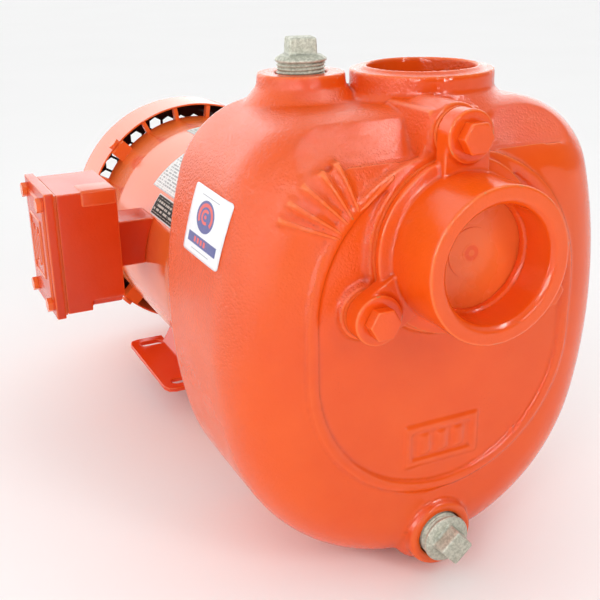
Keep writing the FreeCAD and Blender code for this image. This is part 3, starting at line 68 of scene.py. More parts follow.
class Graph:
    """A material's node tree, with short calls for the nodes that are used most."""

    def __init__(self, name):
        self.material = bpy.data.materials.new(name)
        self.material.use_nodes = True
        self.tree = self.material.node_tree
        self.shader = self.tree.nodes["Principled BSDF"]
        self.coords = self.add("ShaderNodeTexCoord")

    def add(self, kind, **settings):
        new = self.tree.nodes.new(kind)
        for key, value in settings.items():
            setattr(new, key, value)
        return new

    def link(self, output, target):
        self.tree.links.new(output, target)

    def feed(self, socket, value):
        if isinstance(value, bpy.types.NodeSocket):
            self.link(value, socket)
        else:
            socket.default_value = value

    def noise(self, scale, detail=2.0, roughness=0.5, vector=None):
        tex = self.add("ShaderNodeTexNoise")
        self.link(vector or self.coords.outputs["Object"], tex.inputs["Vector"])
        tex.inputs["Scale"].default_value = scale
        tex.inputs["Detail"].default_value = detail
        tex.inputs["Roughness"].default_value = roughness
        return tex.outputs["Fac"]

    def cells(self, scale, feature="F1"):
        tex = self.add("ShaderNodeTexVoronoi", feature=feature)
        self.link(self.coords.outputs["Object"], tex.inputs["Vector"])
        tex.inputs["Scale"].default_value = scale
        return tex.outputs["Distance"]

    def ramp(self, value, low, high, to_low=0.0, to_high=1.0):
        step = self.add("ShaderNodeMapRange", interpolation_type="SMOOTHSTEP")
        self.link(value, step.inputs["Value"])
        step.inputs["From Min"].default_value = low
        step.inputs["From Max"].default_value = high
        step.inputs["To Min"].default_value = to_low
        step.inputs["To Max"].default_value = to_high
        return step.outputs["Result"]

    def math(self, operation, first, second=0.0):
        op = self.add("ShaderNodeMath", operation=operation)
        self.feed(op.inputs[0], first)
        self.feed(op.inputs[1], second)
        return op.outputs[0]

    def mix(self, factor, first, second):
        op = self.add("ShaderNodeMix", data_type="RGBA")
        self.feed(op.inputs[0], factor)
        self.feed(op.inputs[6], first)
        self.feed(op.inputs[7], second)
        return op.outputs[2]

    def split(self, vector):
        op = self.add("ShaderNodeSeparateXYZ")
        self.link(vector, op.inputs[0])
        return op.outputs

    def bump(self, height, distance, after=None):
        op = self.add("ShaderNodeBump")
        op.inputs["Distance"].default_value = distance
        op.inputs["Strength"].default_value = 1.0
        self.link(height, op.inputs["Height"])
        if after is not None:
            self.link(after, op.inputs["Normal"])
        return op.outputs["Normal"]

    def from_shaft(self, xyz):
        """Height over the shaft's axis and distance from it, from a point's three parts."""
        up = self.math("SUBTRACT", xyz[2], SHAFT_Z)
        squares = self.math("ADD", self.math("MULTIPLY", xyz[0], xyz[0]), self.math("MULTIPLY", up, up))
        return up, self.math("SQRT", squares)

    def finish(self, colour, roughness, normal=None, **fixed):
        self.feed(self.shader.inputs["Base Color"], colour)
        self.feed(self.shader.inputs["Roughness"], roughness)
        if normal is not None:
            self.link(normal, self.shader.inputs["Normal"])
            if "Coat_Weight" in fixed:
                self.link(normal, self.shader.inputs["Coat Normal"])
        for key, value in fixed.items():
            self.shader.inputs[key.replace("_", " ")].default_value = value
        return self.material


# Each tone: the usual colour, where the film is thinner, where it is brighter, and a dark one for random
# specks and for painted shade in crevices.
CAST_TONE = ((0.86, 0.098, 0.006), (0.82, 0.080, 0.005), (0.90, 0.125, 0.010), (0.50, 0.035, 0.006))
SHEET_TONE = ((0.80, 0.066, 0.010), (0.76, 0.052, 0.007), (0.84, 0.075, 0.009), (0.30, 0.020, 0.010))
# Painted highlight colour for convex edges of the enamel.
EDGE_HIGHLIGHT_TONE = (0.98, 0.24, 0.05, 1)
CHIP_TONE = (0.30, 0.27, 0.10, 1)
# Painted shade colour for the fan cover's inner faces.
INSIDE_SHADE_TONE = (0.035, 0.010, 0.012, 1)
COVER_INNER_RADIUS = 0.0906


def cast_texture(g, height):
    """Sand grain as it is left on the casing: strong on its left and right, weak on the front and below."""
    normal = g.split(g.coords.outputs["Normal"])
    place = g.split(g.coords.outputs["Object"])
    facing = g.ramp(g.math("ABSOLUTE", normal[1]), 0.60, 0.97, 0.75, 0.06)
    facing = g.math("ADD", facing, g.ramp(g.math("ABSOLUTE", normal[0]), 0.75, 0.98, 0.0, 0.8))
    upper = g.ramp(place[2], 0.0, 0.12, 0.40, 1.0)
    shoulder = g.math("MULTIPLY", g.ramp(place[0], -0.015, -0.055), g.ramp(place[2], 0.10, 0.15))
    shoulder = g.math("MULTIPLY", shoulder, 0.5)
    return g.math("MULTIPLY", height, g.math("ADD", g.math("MULTIPLY", facing, upper), shoulder))


def shade_within(g, colour, radius):
    """Inner faces of the fan cover, and the rims of its holes, painted dark as shade."""
    place = g.split(g.coords.outputs["Object"])
    normal = g.split(g.coords.outputs["Normal"])
    up, reach = g.from_shaft(place)
    outward = g.math("DIVIDE", g.math("ADD", g.math("MULTIPLY", place[0], normal[0]),
                                      g.math("MULTIPLY", up, normal[2])), reach)
    hidden = g.math("MAXIMUM", g.ramp(outward, -0.2, -0.5), g.ramp(normal[1], 0.75, 0.55))
    hidden = g.math("MULTIPLY", hidden, g.math("LESS_THAN", reach, radius))
    return g.mix(hidden, colour, INSIDE_SHADE_TONE)


def enamel(name, grain, peel, tones=CAST_TONE, cast=False, chips=0.0, shade=1.0, polish=(0.08, 0.17),
           shade_radius=0.0):
    """Orange-red enamel: colour that varies with film thickness, orange peel, and the metal's own grain, plus
    painted shade in creases and painted highlights on edges.

    grain and peel are depths in metres, chips is how worn the edges are, and shade_radius is the radius round
    the shaft within which inner faces are painted dark as shade.
    """
    g = Graph(name)
    main, thin, bright, speck_and_crevice_shade = (tuple(c * shade for c in tone) + (1,) for tone in tones)
    base = g.mix(g.ramp(g.noise(14.0, 3.0), 0.3, 0.7), main, thin)
    base = g.mix(g.math("MULTIPLY", g.noise(90.0, 2.0), 0.35), base, bright)
    dot = g.math("MULTIPLY", g.ramp(g.cells(900.0), 0.22, 0.12),
                 g.ramp(g.noise(60.0, 2.0), 0.60, 0.70))
    base = g.mix(g.math("MULTIPLY", dot, 0.4), base, speck_and_crevice_shade)
    edge = g.add("ShaderNodeNewGeometry").outputs["Pointiness"]
    # Painted shade: concave creases (low pointiness) are darkened.
    base = g.mix(g.math("MULTIPLY", g.ramp(edge, 0.49, 0.45), 0.55), base, speck_and_crevice_shade)
    # Painted highlight: convex edges (high pointiness) are made brighter orange.
    base = g.mix(g.math("MULTIPLY", g.ramp(edge, 0.515, 0.55), 0.5), base, EDGE_HIGHLIGHT_TONE)
    if chips:
        worn = g.math("MULTIPLY", g.ramp(edge, 0.52, 0.56), g.ramp(g.noise(150.0, 3.0), 0.62, 0.68))
        base = g.mix(g.math("MULTIPLY", worn, chips), base, CHIP_TONE)
    if shade_radius:
        # Painted shade: inward-facing faces near the shaft are darkened.
        base = shade_within(g, base, shade_radius)
    sand = g.noise(640.0, 5.0, 0.66)
    pits = g.ramp(g.cells(760.0, "SMOOTH_F1"), 0.05, 0.6)
    height = g.math("ADD", sand, g.math("MULTIPLY", pits, 0.35))
    if cast:
        height = cast_texture(g, height)
    normal = g.bump(g.noise(110.0, 2.0), peel)
    normal = g.bump(height, grain, after=normal)
    rough = g.ramp(g.noise(45.0, 3.0), 0.3, 0.7, *polish)
    return g.finish(base, rough, normal, Specular_IOR_Level=0.45)


def worn_zinc(name):
    """Galvanised iron: pale grey-green, speckled with dull spots, and rough, with painted shade in creases
    and painted highlights on edges.
    """
    g = Graph(name)
    tone = g.mix(g.ramp(g.noise(620.0, 4.0, 0.65), 0.38, 0.62), (0.58, 0.59, 0.49, 1), (0.38, 0.39, 0.31, 1))
    spots = g.math("MULTIPLY", g.ramp(g.cells(1500.0), 0.30, 0.12),
                   g.ramp(g.noise(300.0, 2.0), 0.50, 0.62))
    tone = g.mix(g.math("MULTIPLY", spots, 0.8), tone, (0.12, 0.11, 0.07, 1))
    edge = g.add("ShaderNodeNewGeometry").outputs["Pointiness"]
    # Painted shade: creases and thread roots (low pointiness) are darkened.
    tone = g.mix(g.math("MULTIPLY", g.ramp(edge, 0.49, 0.42), 0.8), tone, (0.06, 0.06, 0.05, 1))
    # Painted highlight: convex edges (high pointiness) are lightened.
    tone = g.mix(g.math("MULTIPLY", g.ramp(edge, 0.53, 0.60), 0.5), tone, (0.80, 0.80, 0.72, 1))
    normal = g.bump(g.noise(1100.0, 4.0), 0.00025)
    rough = g.ramp(g.noise(300.0, 3.0), 0.3, 0.7, 0.40, 0.60)
    return g.finish(tone, rough, normal, Metallic=0.25)


def metal(name, colour, roughness, scale=600.0, metallic=1.0, depth=0.00005):
    """Turned or plated metal, with a faint grain and uneven polish."""
    g = Graph(name)
    grain = g.noise(scale, 3.0)
    shade = tuple(c * 0.72 for c in colour[:3]) + (1,)
    tone = g.mix(g.ramp(g.noise(scale / 8, 2.0), 0.3, 0.7), colour, shade)
    rough = g.ramp(grain, 0.3, 0.7, roughness * 0.8, roughness * 1.25)
    return g.finish(tone, rough, g.bump(grain, depth), Metallic=metallic)


def moulded(name, colour, roughness=0.55, scale=900.0, depth=0.00006, **fixed):
    """Rubber, fibre or plastic with a fine moulded grain."""
    g = Graph(name)
    lighter = tuple(min(1.0, c * 1.5 + 0.01) for c in colour[:3]) + (1,)
    tone = g.mix(g.ramp(g.noise(scale / 12, 3.0), 0.35, 0.7), colour, lighter)
    rough = g.ramp(g.noise(scale / 5, 2.0), 0.3, 0.7, roughness * 0.85, min(1.0, roughness * 1.15))
    return g.finish(tone, rough, g.bump(g.noise(scale, 3.0), depth), **fixed)


def laminated(name):
    """Stacked electrical steel: thin sheets seen edge on."""
    g = Graph(name)
    wave = g.add("ShaderNodeTexWave", wave_type="BANDS", bands_direction="Y")
    g.link(g.coords.outputs["Object"], wave.inputs["Vector"])
    wave.inputs["Scale"].default_value = 300.0
    wave.inputs["Distortion"].default_value = 0.4
    tone = g.mix(wave.outputs["Fac"], (0.20, 0.21, 0.23, 1), (0.42, 0.43, 0.45, 1))
    return g.finish(tone, g.ramp(g.noise(300.0), 0.3, 0.7, 0.35, 0.5), g.bump(wave.outputs["Fac"], 0.0001),
                    Metallic=0.9)


def wound_copper(name):
    """Varnished wire laid in hoops round the shaft."""
    g = Graph(name)
    xyz = g.split(g.coords.outputs["Object"])
    radius = g.from_shaft(xyz)[1]
    hoops = g.math("SINE", g.math("MULTIPLY", g.math("ADD", radius, g.math("MULTIPLY", xyz[1], 0.6)), 5200.0))
    tone = g.mix(g.ramp(hoops, -1.0, 1.0), (0.22, 0.06, 0.015, 1), (0.62, 0.25, 0.08, 1))
    return g.finish(tone, g.ramp(g.noise(200.0), 0.3, 0.7, 0.2, 0.35), g.bump(hoops, 0.0002), Metallic=0.6,
                    Coat_Weight=0.5)


def printed_rows(g, along, across, pitch, fill, word_scale):
    """1 where a row of small print would be: broken bars, with no letters in them."""
    row = g.math("FRACT", g.math("DIVIDE", across, pitch))
    bar = g.math("LESS_THAN", row, fill)
    number = g.math("FLOOR", g.math("DIVIDE", across, pitch))
    spot = g.add("ShaderNodeCombineXYZ")
    g.link(g.math("MULTIPLY", along, word_scale), spot.inputs[0])
    g.link(g.math("MULTIPLY", number, 7.31), spot.inputs[1])
    words = g.ramp(g.noise(1.0, 1.0, vector=spot.outputs[0]), 0.44, 0.47)
    return g.math("MULTIPLY", bar, words)


def inside(g, value, low, high):
    """1 where a value lies between two limits."""
    return g.math("MULTIPLY", g.math("GREATER_THAN", value, low), g.math("LESS_THAN", value, high))


PRINT_MARGIN = 0.0022
PRINT_BORDER = 0.0009


def shell_print(name, paper, ink, y_range, arc_range, pitch, heading=0.0, roughness=0.3, gloss=0.4):
    """A printed label wrapped round the motor shell: rows of bars along Y, a border and a heading band."""
    g = Graph(name)
    xyz = g.split(g.coords.outputs["Object"])
    turn = g.math("ARCTAN2", g.math("SUBTRACT", xyz[2], SHAFT_Z), xyz[0])
    arc = g.math("MULTIPLY", turn, SHELL_RADIUS)
    low_y, high_y = y_range
    low, high = arc_range
    rows = printed_rows(g, xyz[1], arc, pitch, 0.52, 420.0)

    def within(margin):
        return g.math("MULTIPLY", inside(g, xyz[1], low_y + margin, high_y - margin),
                      inside(g, arc, low + margin, high - margin))

    marks = g.math("MULTIPLY", rows, within(PRINT_MARGIN))
    border = g.math("SUBTRACT", 1.0, within(PRINT_BORDER))
    if heading:
        band = g.math("MULTIPLY", inside(g, arc, low + PRINT_MARGIN, low + PRINT_MARGIN + heading),
                      inside(g, xyz[1], low_y + PRINT_MARGIN, high_y - PRINT_MARGIN * 6))
        marks = g.math("MAXIMUM", marks, band)
    tone = g.mix(g.noise(150.0, 2.0), paper, tuple(c * 0.9 for c in paper[:3]) + (1,))
    tone = g.mix(g.math("MULTIPLY", marks, 0.9), tone, ink)
    tone = g.mix(border, tone, (0.75, 0.75, 0.72, 1) if paper[0] < 0.3 else (0.45, 0.45, 0.43, 1))
    rough = g.ramp(g.noise(200.0), 0.3, 0.7, roughness * 0.85, roughness * 1.2)
    return g.finish(tone, rough, g.bump(g.noise(500.0, 2.0), 0.00003), Specular_IOR_Level=gloss)


def sticker_print(name):
    """White card with a round device of broken red arcs on a blue disc, over a blue band with four bars.

    The device keeps the colours and the rough make-up of the one on the real card.
    """
    g = Graph(name)
    uv = g.split(g.coords.outputs["UV"])
    u, v = uv[0], uv[1]
    centre_u, centre_v, squash = 0.46, 0.61, 1.05
    across = g.math("SUBTRACT", u, centre_u)
    up = g.math("SUBTRACT", v, centre_v)
    tall = g.math("MULTIPLY", up, squash)
    reach = g.math("SQRT", g.math("ADD", g.math("MULTIPLY", across, across), g.math("MULTIPLY", tall, tall)))
    sweep = g.math("ARCTAN2", up, across)
    white = g.mix(g.noise(120.0, 2.0), (0.88, 0.88, 0.90, 1), (0.80, 0.80, 0.83, 1))
    blue = (0.035, 0.045, 0.26, 1)
    red = (0.78, 0.05, 0.03, 1)
    tone = g.mix(g.math("LESS_THAN", reach, 0.245), white, blue)
    outer = g.math("MULTIPLY", inside(g, reach, 0.150, 0.205),
                   g.math("GREATER_THAN", g.math("SINE", sweep), -0.55))
    inner = g.math("MULTIPLY", inside(g, reach, 0.070, 0.115),
                   g.math("LESS_THAN", g.math("COSINE", sweep), 0.60))
    tone = g.mix(g.math("MAXIMUM", outer, inner), tone, red)
    tone = g.mix(g.math("LESS_THAN", reach, 0.030), tone, red)
    band = g.math("MULTIPLY", inside(g, u, 0.10, 0.90), inside(g, v, 0.16, 0.31))
    tone = g.mix(band, tone, blue)
    bars = g.math("MULTIPLY", g.math("LESS_THAN", g.math("FRACT", g.math("MULTIPLY", u, 11.0)), 0.6),
                  g.math("MULTIPLY", inside(g, u, 0.27, 0.64), inside(g, v, 0.195, 0.275)))
    tone = g.mix(bars, tone, red)
    fine = g.math("MULTIPLY", inside(g, u, 0.24, 0.74),
                  g.math("ADD", inside(g, v, 0.885, 0.897), inside(g, v, 0.085, 0.097)))
    tone = g.mix(g.math("MULTIPLY", fine, 0.7), tone, (0.15, 0.15, 0.2, 1))
    rough = g.ramp(g.noise(300.0), 0.3, 0.7, 0.28, 0.36)
    return g.finish(tone, rough, g.bump(g.noise(450.0, 2.0), 0.00004), Coat_Weight=0.5)


PAINT_CAST = enamel("enamel_on_sand_casting", 0.00040, 0.00012, cast=True)
PAINT_FLANGE = enamel("enamel_on_flange", 0.00010, 0.00012, chips=0.8)
PAINT_FLAP = enamel("enamel_on_flapper", 0.00003, 0.00006, polish=(0.25, 0.35))
PAINT_SHEET = enamel("enamel_on_sheet", 0.00003, 0.00005, SHEET_TONE, polish=(0.08, 0.16))
PAINT_COVER = enamel("enamel_on_fan_cover", 0.00003, 0.00005, SHEET_TONE, shade_radius=COVER_INNER_RADIUS)
# Conduit box and cover: the sheet paint darkened as painted shade.
PAINT_BOX = enamel("enamel_on_conduit_box", 0.00005, 0.00010, SHEET_TONE, shade=0.86, polish=(0.16, 0.26))
PAINT_BOLT = enamel("enamel_on_bolt_heads", 0.00008, 0.0002)
# Gasket seams: the sheet paint darkened as painted shade between the parts.
PAINT_SEAM = enamel("enamel_over_gasket", 0.0002, 0.0002, SHEET_TONE, shade=0.8)
ZINC_PLUG = worn_zinc("galvanised_plug")


def label_area(node):
    """The span of a label along the shaft, and round the shell as an arc length."""
    low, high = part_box(node)
    turns = [math.atan2(vertex.co.z - SHAFT_Z, vertex.co.x) for vertex in NODES[node].data.vertices]
    return (low.y, high.y), (min(turns) * SHELL_RADIUS, max(turns) * SHELL_RADIUS)


RATING = shell_print("rating_plate_print", (0.80, 0.80, 0.78, 1), (0.22, 0.22, 0.22, 1),
                     *label_area("rating_plate"), 0.0023, heading=0.004)
WIRING = shell_print("wiring_label_print", (0.018, 0.018, 0.016, 1), (0.70, 0.68, 0.60, 1),
                     *label_area("wiring_label"), 0.0030, roughness=0.6, gloss=0.1)
NOTICE = shell_print("notice_label_print", (0.62, 0.66, 0.60, 1), (0.08, 0.08, 0.08, 1),
                     *label_area("notice_label"), 0.0030)
STICKER = sticker_print("sticker_print")
ZINC_BOLT = metal("zinc_plated_steel", (0.62, 0.62, 0.58, 1), 0.32)
STEEL = metal("bare_steel", (0.56, 0.56, 0.57, 1), 0.28)
POLISHED = metal("bearing_steel", (0.68, 0.68, 0.70, 1), 0.14)
IRON = metal("bare_cast_iron", (0.10, 0.10, 0.10, 1), 0.6, 420.0, 0.5, 0.0004)
ALUMINIUM = metal("die_cast_aluminium", (0.66, 0.67, 0.68, 1), 0.4, 380.0, 1.0, 0.0001)
RUBBER = moulded("black_rubber", (0.012, 0.012, 0.012, 1), 0.6)
CERAMIC = moulded("seal_ceramic", (0.62, 0.60, 0.55, 1), 0.25, 1200.0, 0.00001)
FAN_PLASTIC = moulded("fan_plastic", (0.02, 0.02, 0.022, 1), 0.5)
GREEN = moulded("green_enamel", (0.02, 0.16, 0.05, 1), 0.3, 500.0, 0.00005, Coat_Weight=0.5)
LAMINATIONS = laminated("electrical_steel_laminations")
COPPER = wound_copper("varnished_copper")

FINISH = {
    PAINT_CAST: ("pump_casing", "adapter", "front_end_bell", "rear_end_bell"),
    PAINT_FLANGE: ("suction_flange",),
    PAINT_FLAP: ("flapper", "flapper_washer", "flapper_rivet"),
    PAINT_SHEET: ("motor_shell", "motor_base"),
    PAINT_COVER: ("fan_cover",),
    PAINT_BOX: ("conduit_box", "conduit_cover"),
    PAINT_SEAM: ("flange_gasket", "conduit_gasket"),
    RATING: ("rating_plate",),
    WIRING: ("wiring_label",),
    NOTICE: ("notice_label",),
    STICKER: ("casing_label",),
    PAINT_BOLT: ("suction_flange_bolts", "conduit_cover_screws", "fan_cover_screws", "adapter_bolts",
                 "motor_face_bolts"),
    ZINC_PLUG: ("fill_plug", "drain_plug", "flapper_weight"),
    ZINC_BOLT: ("volute_bolts", "through_bolts", "seal_spring", "wave_washer"),
    STEEL: ("motor_shaft",),
    POLISHED: ("front_bearing_outer_ring", "front_bearing_inner_ring", "front_bearing_balls",
               "rear_bearing_outer_ring", "rear_bearing_inner_ring", "rear_bearing_balls"),
    IRON: ("volute", "impeller"),
    ALUMINIUM: ("rotor_end_rings",),
    RUBBER: ("volute_o_ring", "casing_o_ring", "seal_rotary", "slinger", "lead_bushing"),
    CERAMIC: ("seal_seat",),
    FAN_PLASTIC: ("cooling_fan",),
    GREEN: ("ground_screw",),
    LAMINATIONS: ("rotor_core", "stator_core"),
    COPPER: ("stator_winding_front", "stator_winding_rear"),
}


def paint(obj, material):
    obj.data.materials.clear()
    obj.data.materials.append(material)


for material, names in FINISH.items():
    for name in names:
        paint(NODES[name], material)


# --------------------------------------------------------------------------------------------------
# Pieces
# --------------------------------------------------------------------------------------------------


def piece(name, mesh, material, body, slot, *stands_for):
    """A smooth-shaded object that rides on a body, with its material; slot is not used."""
    obj = bpy.data.objects.new(name, mesh)
    bpy.context.collection.objects.link(obj)
    mesh.materials.append(material)
    for polygon in mesh.polygons:
        polygon.use_smooth = True
    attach(obj, body)
    if stands_for:
        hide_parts(*stands_for)
    return obj


def softened(node, name, material, slot, voxel, rounds):
    """A CAD node's copy with its edges rounded as sand and paint leave them: remeshed, then smoothed."""
    obj = bpy.data.objects.new(name, NODES[node].data.copy())
    bpy.context.collection.objects.link(obj)
    remesh = obj.modifiers.new("remesh", "REMESH")
    remesh.mode = "VOXEL"
    remesh.voxel_size = voxel
    smooth = obj.modifiers.new("smooth", "SMOOTH")
    smooth.factor = 0.5
    smooth.iterations = rounds
    final = bpy.data.meshes.new_from_object(obj.evaluated_get(bpy.context.evaluated_depsgraph_get()))
    bpy.data.objects.remove(obj)
    final.materials.clear()
    return piece(name, final, material, "pump", slot, node)


casing = softened("pump_casing", "casing_casting", PAINT_CAST, "painted_casting", 0.0011, 6)
softened("suction_flange", "suction_flange_casting", PAINT_FLANGE, "painted_casting", 0.0007, 4)
softened("suction_flange_bolts", "suction_flange_bolt_heads", PAINT_BOLT, "painted_bolt", 0.00045, 9)
softened("conduit_box", "conduit_box_body", PAINT_BOX, "painted_sheet", 0.0008, 3)
softened("conduit_cover", "conduit_box_cover", PAINT_BOX, "painted_sheet", 0.0006, 3)
softened("motor_base", "motor_base_sheet", PAINT_SHEET, "painted_sheet", 0.0006, 3)


def facing_out(mesh):
    """Turns a mesh's faces outwards."""
    bm = bmesh.new()
    bm.from_mesh(mesh)
    bmesh.ops.recalc_face_normals(bm, faces=bm.faces)
    bm.to_mesh(mesh)
    bm.free()
    return mesh


def skin_of_rings(rings, capped=True):
    """A closed mesh through rings of points, each ring with the same number of them."""
    count = len(rings[0])
    vertices = [point for one in rings for point in one]
    faces = []
    for r in range(len(rings) - 1):
        for k in range(count):
            following = (k + 1) % count
            faces.append((r * count + k, r * count + following,
                          (r + 1) * count + following, (r + 1) * count + k))
    if capped:
        faces.append(tuple(reversed(range(count))))
        faces.append(tuple((len(rings) - 1) * count + k for k in range(count)))
    mesh = bpy.data.meshes.new("rings")
    mesh.from_pydata(vertices, [], faces)
    mesh.validate()
    mesh.update()
    return facing_out(mesh)


# Heights along a plug are measured from the face of the boss that it is screwed into.
PLUG_RADIUS = 0.01325
PLUG_BOTTOM = -0.0198
PLUG_TOP = 0.0173
THREAD_TOP = 0.0050
THREAD_PITCH = 0.00181
THREAD_DEPTH = 0.0010
THREAD_LEVELS = 156
PLUG_STEPS = 128
COLLAR = ((0.0052, 0.0119), (0.0055, 0.0129), (0.0058, 0.0133), (0.0066, 0.0133), (0.0069, 0.0131),
          (0.0074, 0.0123), (0.0081, 0.0113), (0.0084, 0.0108))
SQUARE = ((0.0090, 0.00745), (0.0100, 0.0073), (0.013, 0.0072), (PLUG_TOP - 0.0012, 0.00705),
          (PLUG_TOP - 0.0005, 0.0069), (PLUG_TOP - 0.0001, 0.0065), (PLUG_TOP, 0.0058))
DENT_SIZE = 0.0012


def squircle(half, angle, power=7.0):
    """Radius, at an angle, of a square with round corners."""
    size = abs(math.cos(angle)) ** power + abs(math.sin(angle)) ** power
    return half * size ** (-1.0 / power)


def pipe_plug(node, at, axis, twist, seed):
    """A galvanised square-head plug: helical thread, chamfered collar and a worn square with soft corners."""
    rng = random.Random(seed)
    angles = [2 * math.pi * k / PLUG_STEPS for k in range(PLUG_STEPS)]
    rings = []

    def ring(height, radius_at):
        rings.append([(radius_at(a) * math.cos(a), radius_at(a) * math.sin(a), height) for a in angles])

    for k in range(THREAD_LEVELS + 1):
        z = PLUG_BOTTOM + (THREAD_TOP - PLUG_BOTTOM) * k / THREAD_LEVELS

        def thread(a, z=z):
            phase = (z / THREAD_PITCH - a / (2 * math.pi)) % 1.0
            return PLUG_RADIUS - THREAD_DEPTH * abs(2 * phase - 1) ** 0.85 - 0.0005

        ring(z, thread)
    for z, radius in COLLAR:
        ring(z, lambda a, r=radius: r)
    ring(0.0086, lambda a: squircle(0.0080, a - twist, 9.0) + 0.0002)
    for z, half in SQUARE:
        ring(z, lambda a, h=half: squircle(h, a - twist, 13.0))
    ring(PLUG_TOP + 0.0002, lambda a: 0.003)
    dents = [(rng.uniform(0, 2 * math.pi), rng.uniform(0.009, PLUG_TOP), rng.uniform(0.00005, 0.00022))
             for k in range(12)]
    for one in rings:
        for k, (x, y, z) in enumerate(one):
            for turn, level, depth in dents:
                away = abs((angles[k] - turn + math.pi) % (2 * math.pi) - math.pi) * 0.009
                near = math.exp(-((away ** 2 + (z - level) ** 2) / DENT_SIZE ** 2)) if z > 0.008 else 0.0
                x, y = x * (1 - depth / 0.008 * near), y * (1 - depth / 0.008 * near)
            one[k] = (x, y, z)
    mesh = skin_of_rings(rings)
    turn = Vector((0, 0, 1)).rotation_difference(Vector(axis)).to_matrix().to_4x4()
    mesh.transform(Matrix.Translation(at) @ turn)
    piece(node + "_galvanised", mesh, ZINC_PLUG, node, "galvanised_steel", node)


FILL_SEAT_Z = 0.2409
DRAIN_SEAT_Y = -0.2835


def centre(node):
    """The middle of a node's box at rest."""
    low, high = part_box(node)
    return [(a + b) / 2 for a, b in zip(low, high)]


fill_x, fill_y, _ = centre("fill_plug")
drain_x, _, drain_z = centre("drain_plug")
pipe_plug("fill_plug", (fill_x, fill_y, FILL_SEAT_Z), (0, 0, 1), math.radians(-13), 5)
pipe_plug("drain_plug", (drain_x, DRAIN_SEAT_Y, drain_z), (0, -1, 0), math.radians(42), 9)

SURFACE = BVHTree.FromObject(casing, bpy.context.evaluated_depsgraph_get())


def sticker_sheet(corners, radius=0.10, lift=0.00025, steps=26):
    """A thin card with round corners laid on the casing between four corner points, with its own UV map."""
    bm = bmesh.new()
    layer = bm.loops.layers.uv.new("sheet")
    c = [Vector(p) for p in corners]
    grid = {}
    flat = {}
    for row in range(steps + 1):
        for col in range(steps + 1):
            u, v = col / steps, row / steps
            px, py = 2 * u - 1, 2 * v - 1
            inner = 1 - radius
            over_x, over_y = max(0.0, abs(px) - inner), max(0.0, abs(py) - inner)
            reach = math.hypot(over_x, over_y)
            if over_x > 0 and over_y > 0 and reach > radius:
                px = math.copysign(inner + over_x * radius / reach, px)
                py = math.copysign(inner + over_y * radius / reach, py)
            u, v = (px + 1) / 2, (py + 1) / 2
            point = (c[0] * (1 - u) + c[1] * u) * v + (c[3] * (1 - u) + c[2] * u) * (1 - v)
            hit, normal, _, _ = SURFACE.find_nearest(point)
            grid[row, col] = bm.verts.new(hit + normal * lift)
            flat[row, col] = (u, v)
    for row in range(steps):
        for col in range(steps):
            keys = ((row, col), (row, col + 1), (row + 1, col + 1), (row + 1, col))
            face = bm.faces.new([grid[k] for k in keys])
            for loop, key in zip(face.loops, keys):
                loop[layer].uv = flat[key]
    bmesh.ops.recalc_face_normals(bm, faces=bm.faces)
    mesh = bpy.data.meshes.new("casing_sticker")
    bm.to_mesh(mesh)
    bm.free()
    sheet = piece("casing_sticker", mesh, STICKER, "pump", "label_paper", "casing_label")
    thick = sheet.modifiers.new("thickness", "SOLIDIFY")
    thick.thickness = 0.0002
    thick.offset = 0.0


RIDGE_START_HALF, RIDGE_END_HALF, RIDGE_RISE = 0.0008, 0.0013, 0.0011
FRONT_OF_CASING = -0.40


def ridge(name, start, end, stations=30):
    """A rounded rib laid on the casing's front between two points seen from the front (x, z)."""
    spine = []
    for k in range(stations + 1):
        t = k / stations
        x, z = (a * (1 - t) + b * t for a, b in zip(start, end))
        hit, normal, _, _ = SURFACE.ray_cast(Vector((x, FRONT_OF_CASING, z)), Vector((0, 1, 0)))
        spine.append((hit, normal))
    rings = []
    for k, (point, normal) in enumerate(spine):
        t = k / stations
        ahead = (spine[min(k + 1, stations)][0] - spine[max(k - 1, 0)][0]).normalized()
        mean = sum((n for _, n in spine[max(k - 2, 0):k + 3]), Vector()).normalized()
        across = ahead.cross(mean).normalized()
        taper = min(1.0, 6 * t + 0.15, 9 * (1 - t) + 0.15)
        half = (RIDGE_START_HALF * (1 - t) + RIDGE_END_HALF * t) * (0.6 + 0.4 * taper)
        ring = []
        for m in range(9):
            angle = math.pi * m / 8
            height = RIDGE_RISE * taper * math.sin(angle) - 0.0002
            ring.append(point + across * half * math.cos(angle) + mean * height)
        ring.append(point - across * half - mean * 0.0012)
        ring.append(point + across * half - mean * 0.0012)
        rings.append(ring)
    piece(name, skin_of_rings(rings), PAINT_FLANGE, "pump", "painted_casting")


RAYS = (((-0.0602, 0.1768), (-0.0877, 0.1881)), ((-0.0591, 0.1791), (-0.0831, 0.1958)),
        ((-0.0560, 0.1832), (-0.0763, 0.2030)), ((-0.0535, 0.1851), (-0.0670, 0.2077)),
        ((-0.0504, 0.1881), (-0.0590, 0.2109)), ((-0.0499, 0.1885), (-0.0321, 0.2030)))
for number, (start, end) in enumerate(RAYS, start=1):
    ridge("casing_ray_%d" % number, start, end)

STICKER_CORNERS = ((-0.1011, -0.2100, 0.1934), (-0.0990, -0.2555, 0.1918), (-0.1075, -0.2503, 0.1588),
                   (-0.1088, -0.2040, 0.1588))
sticker_sheet(STICKER_CORNERS)


def rounded_rectangle(width, height, radius, steps=6):
    """Corner points of a rectangle with round corners, counter-clockwise, about the origin."""
    points = []
    for turn, (sx, sy) in enumerate(((1, 1), (-1, 1), (-1, -1), (1, -1))):
        cx, cy = sx * (width / 2 - radius), sy * (height / 2 - radius)
        for k in range(steps + 1):
            angle = math.pi / 2 * (turn + k / steps)
            points.append((cx + radius * math.cos(angle), cy + radius * math.sin(angle)))
    return points


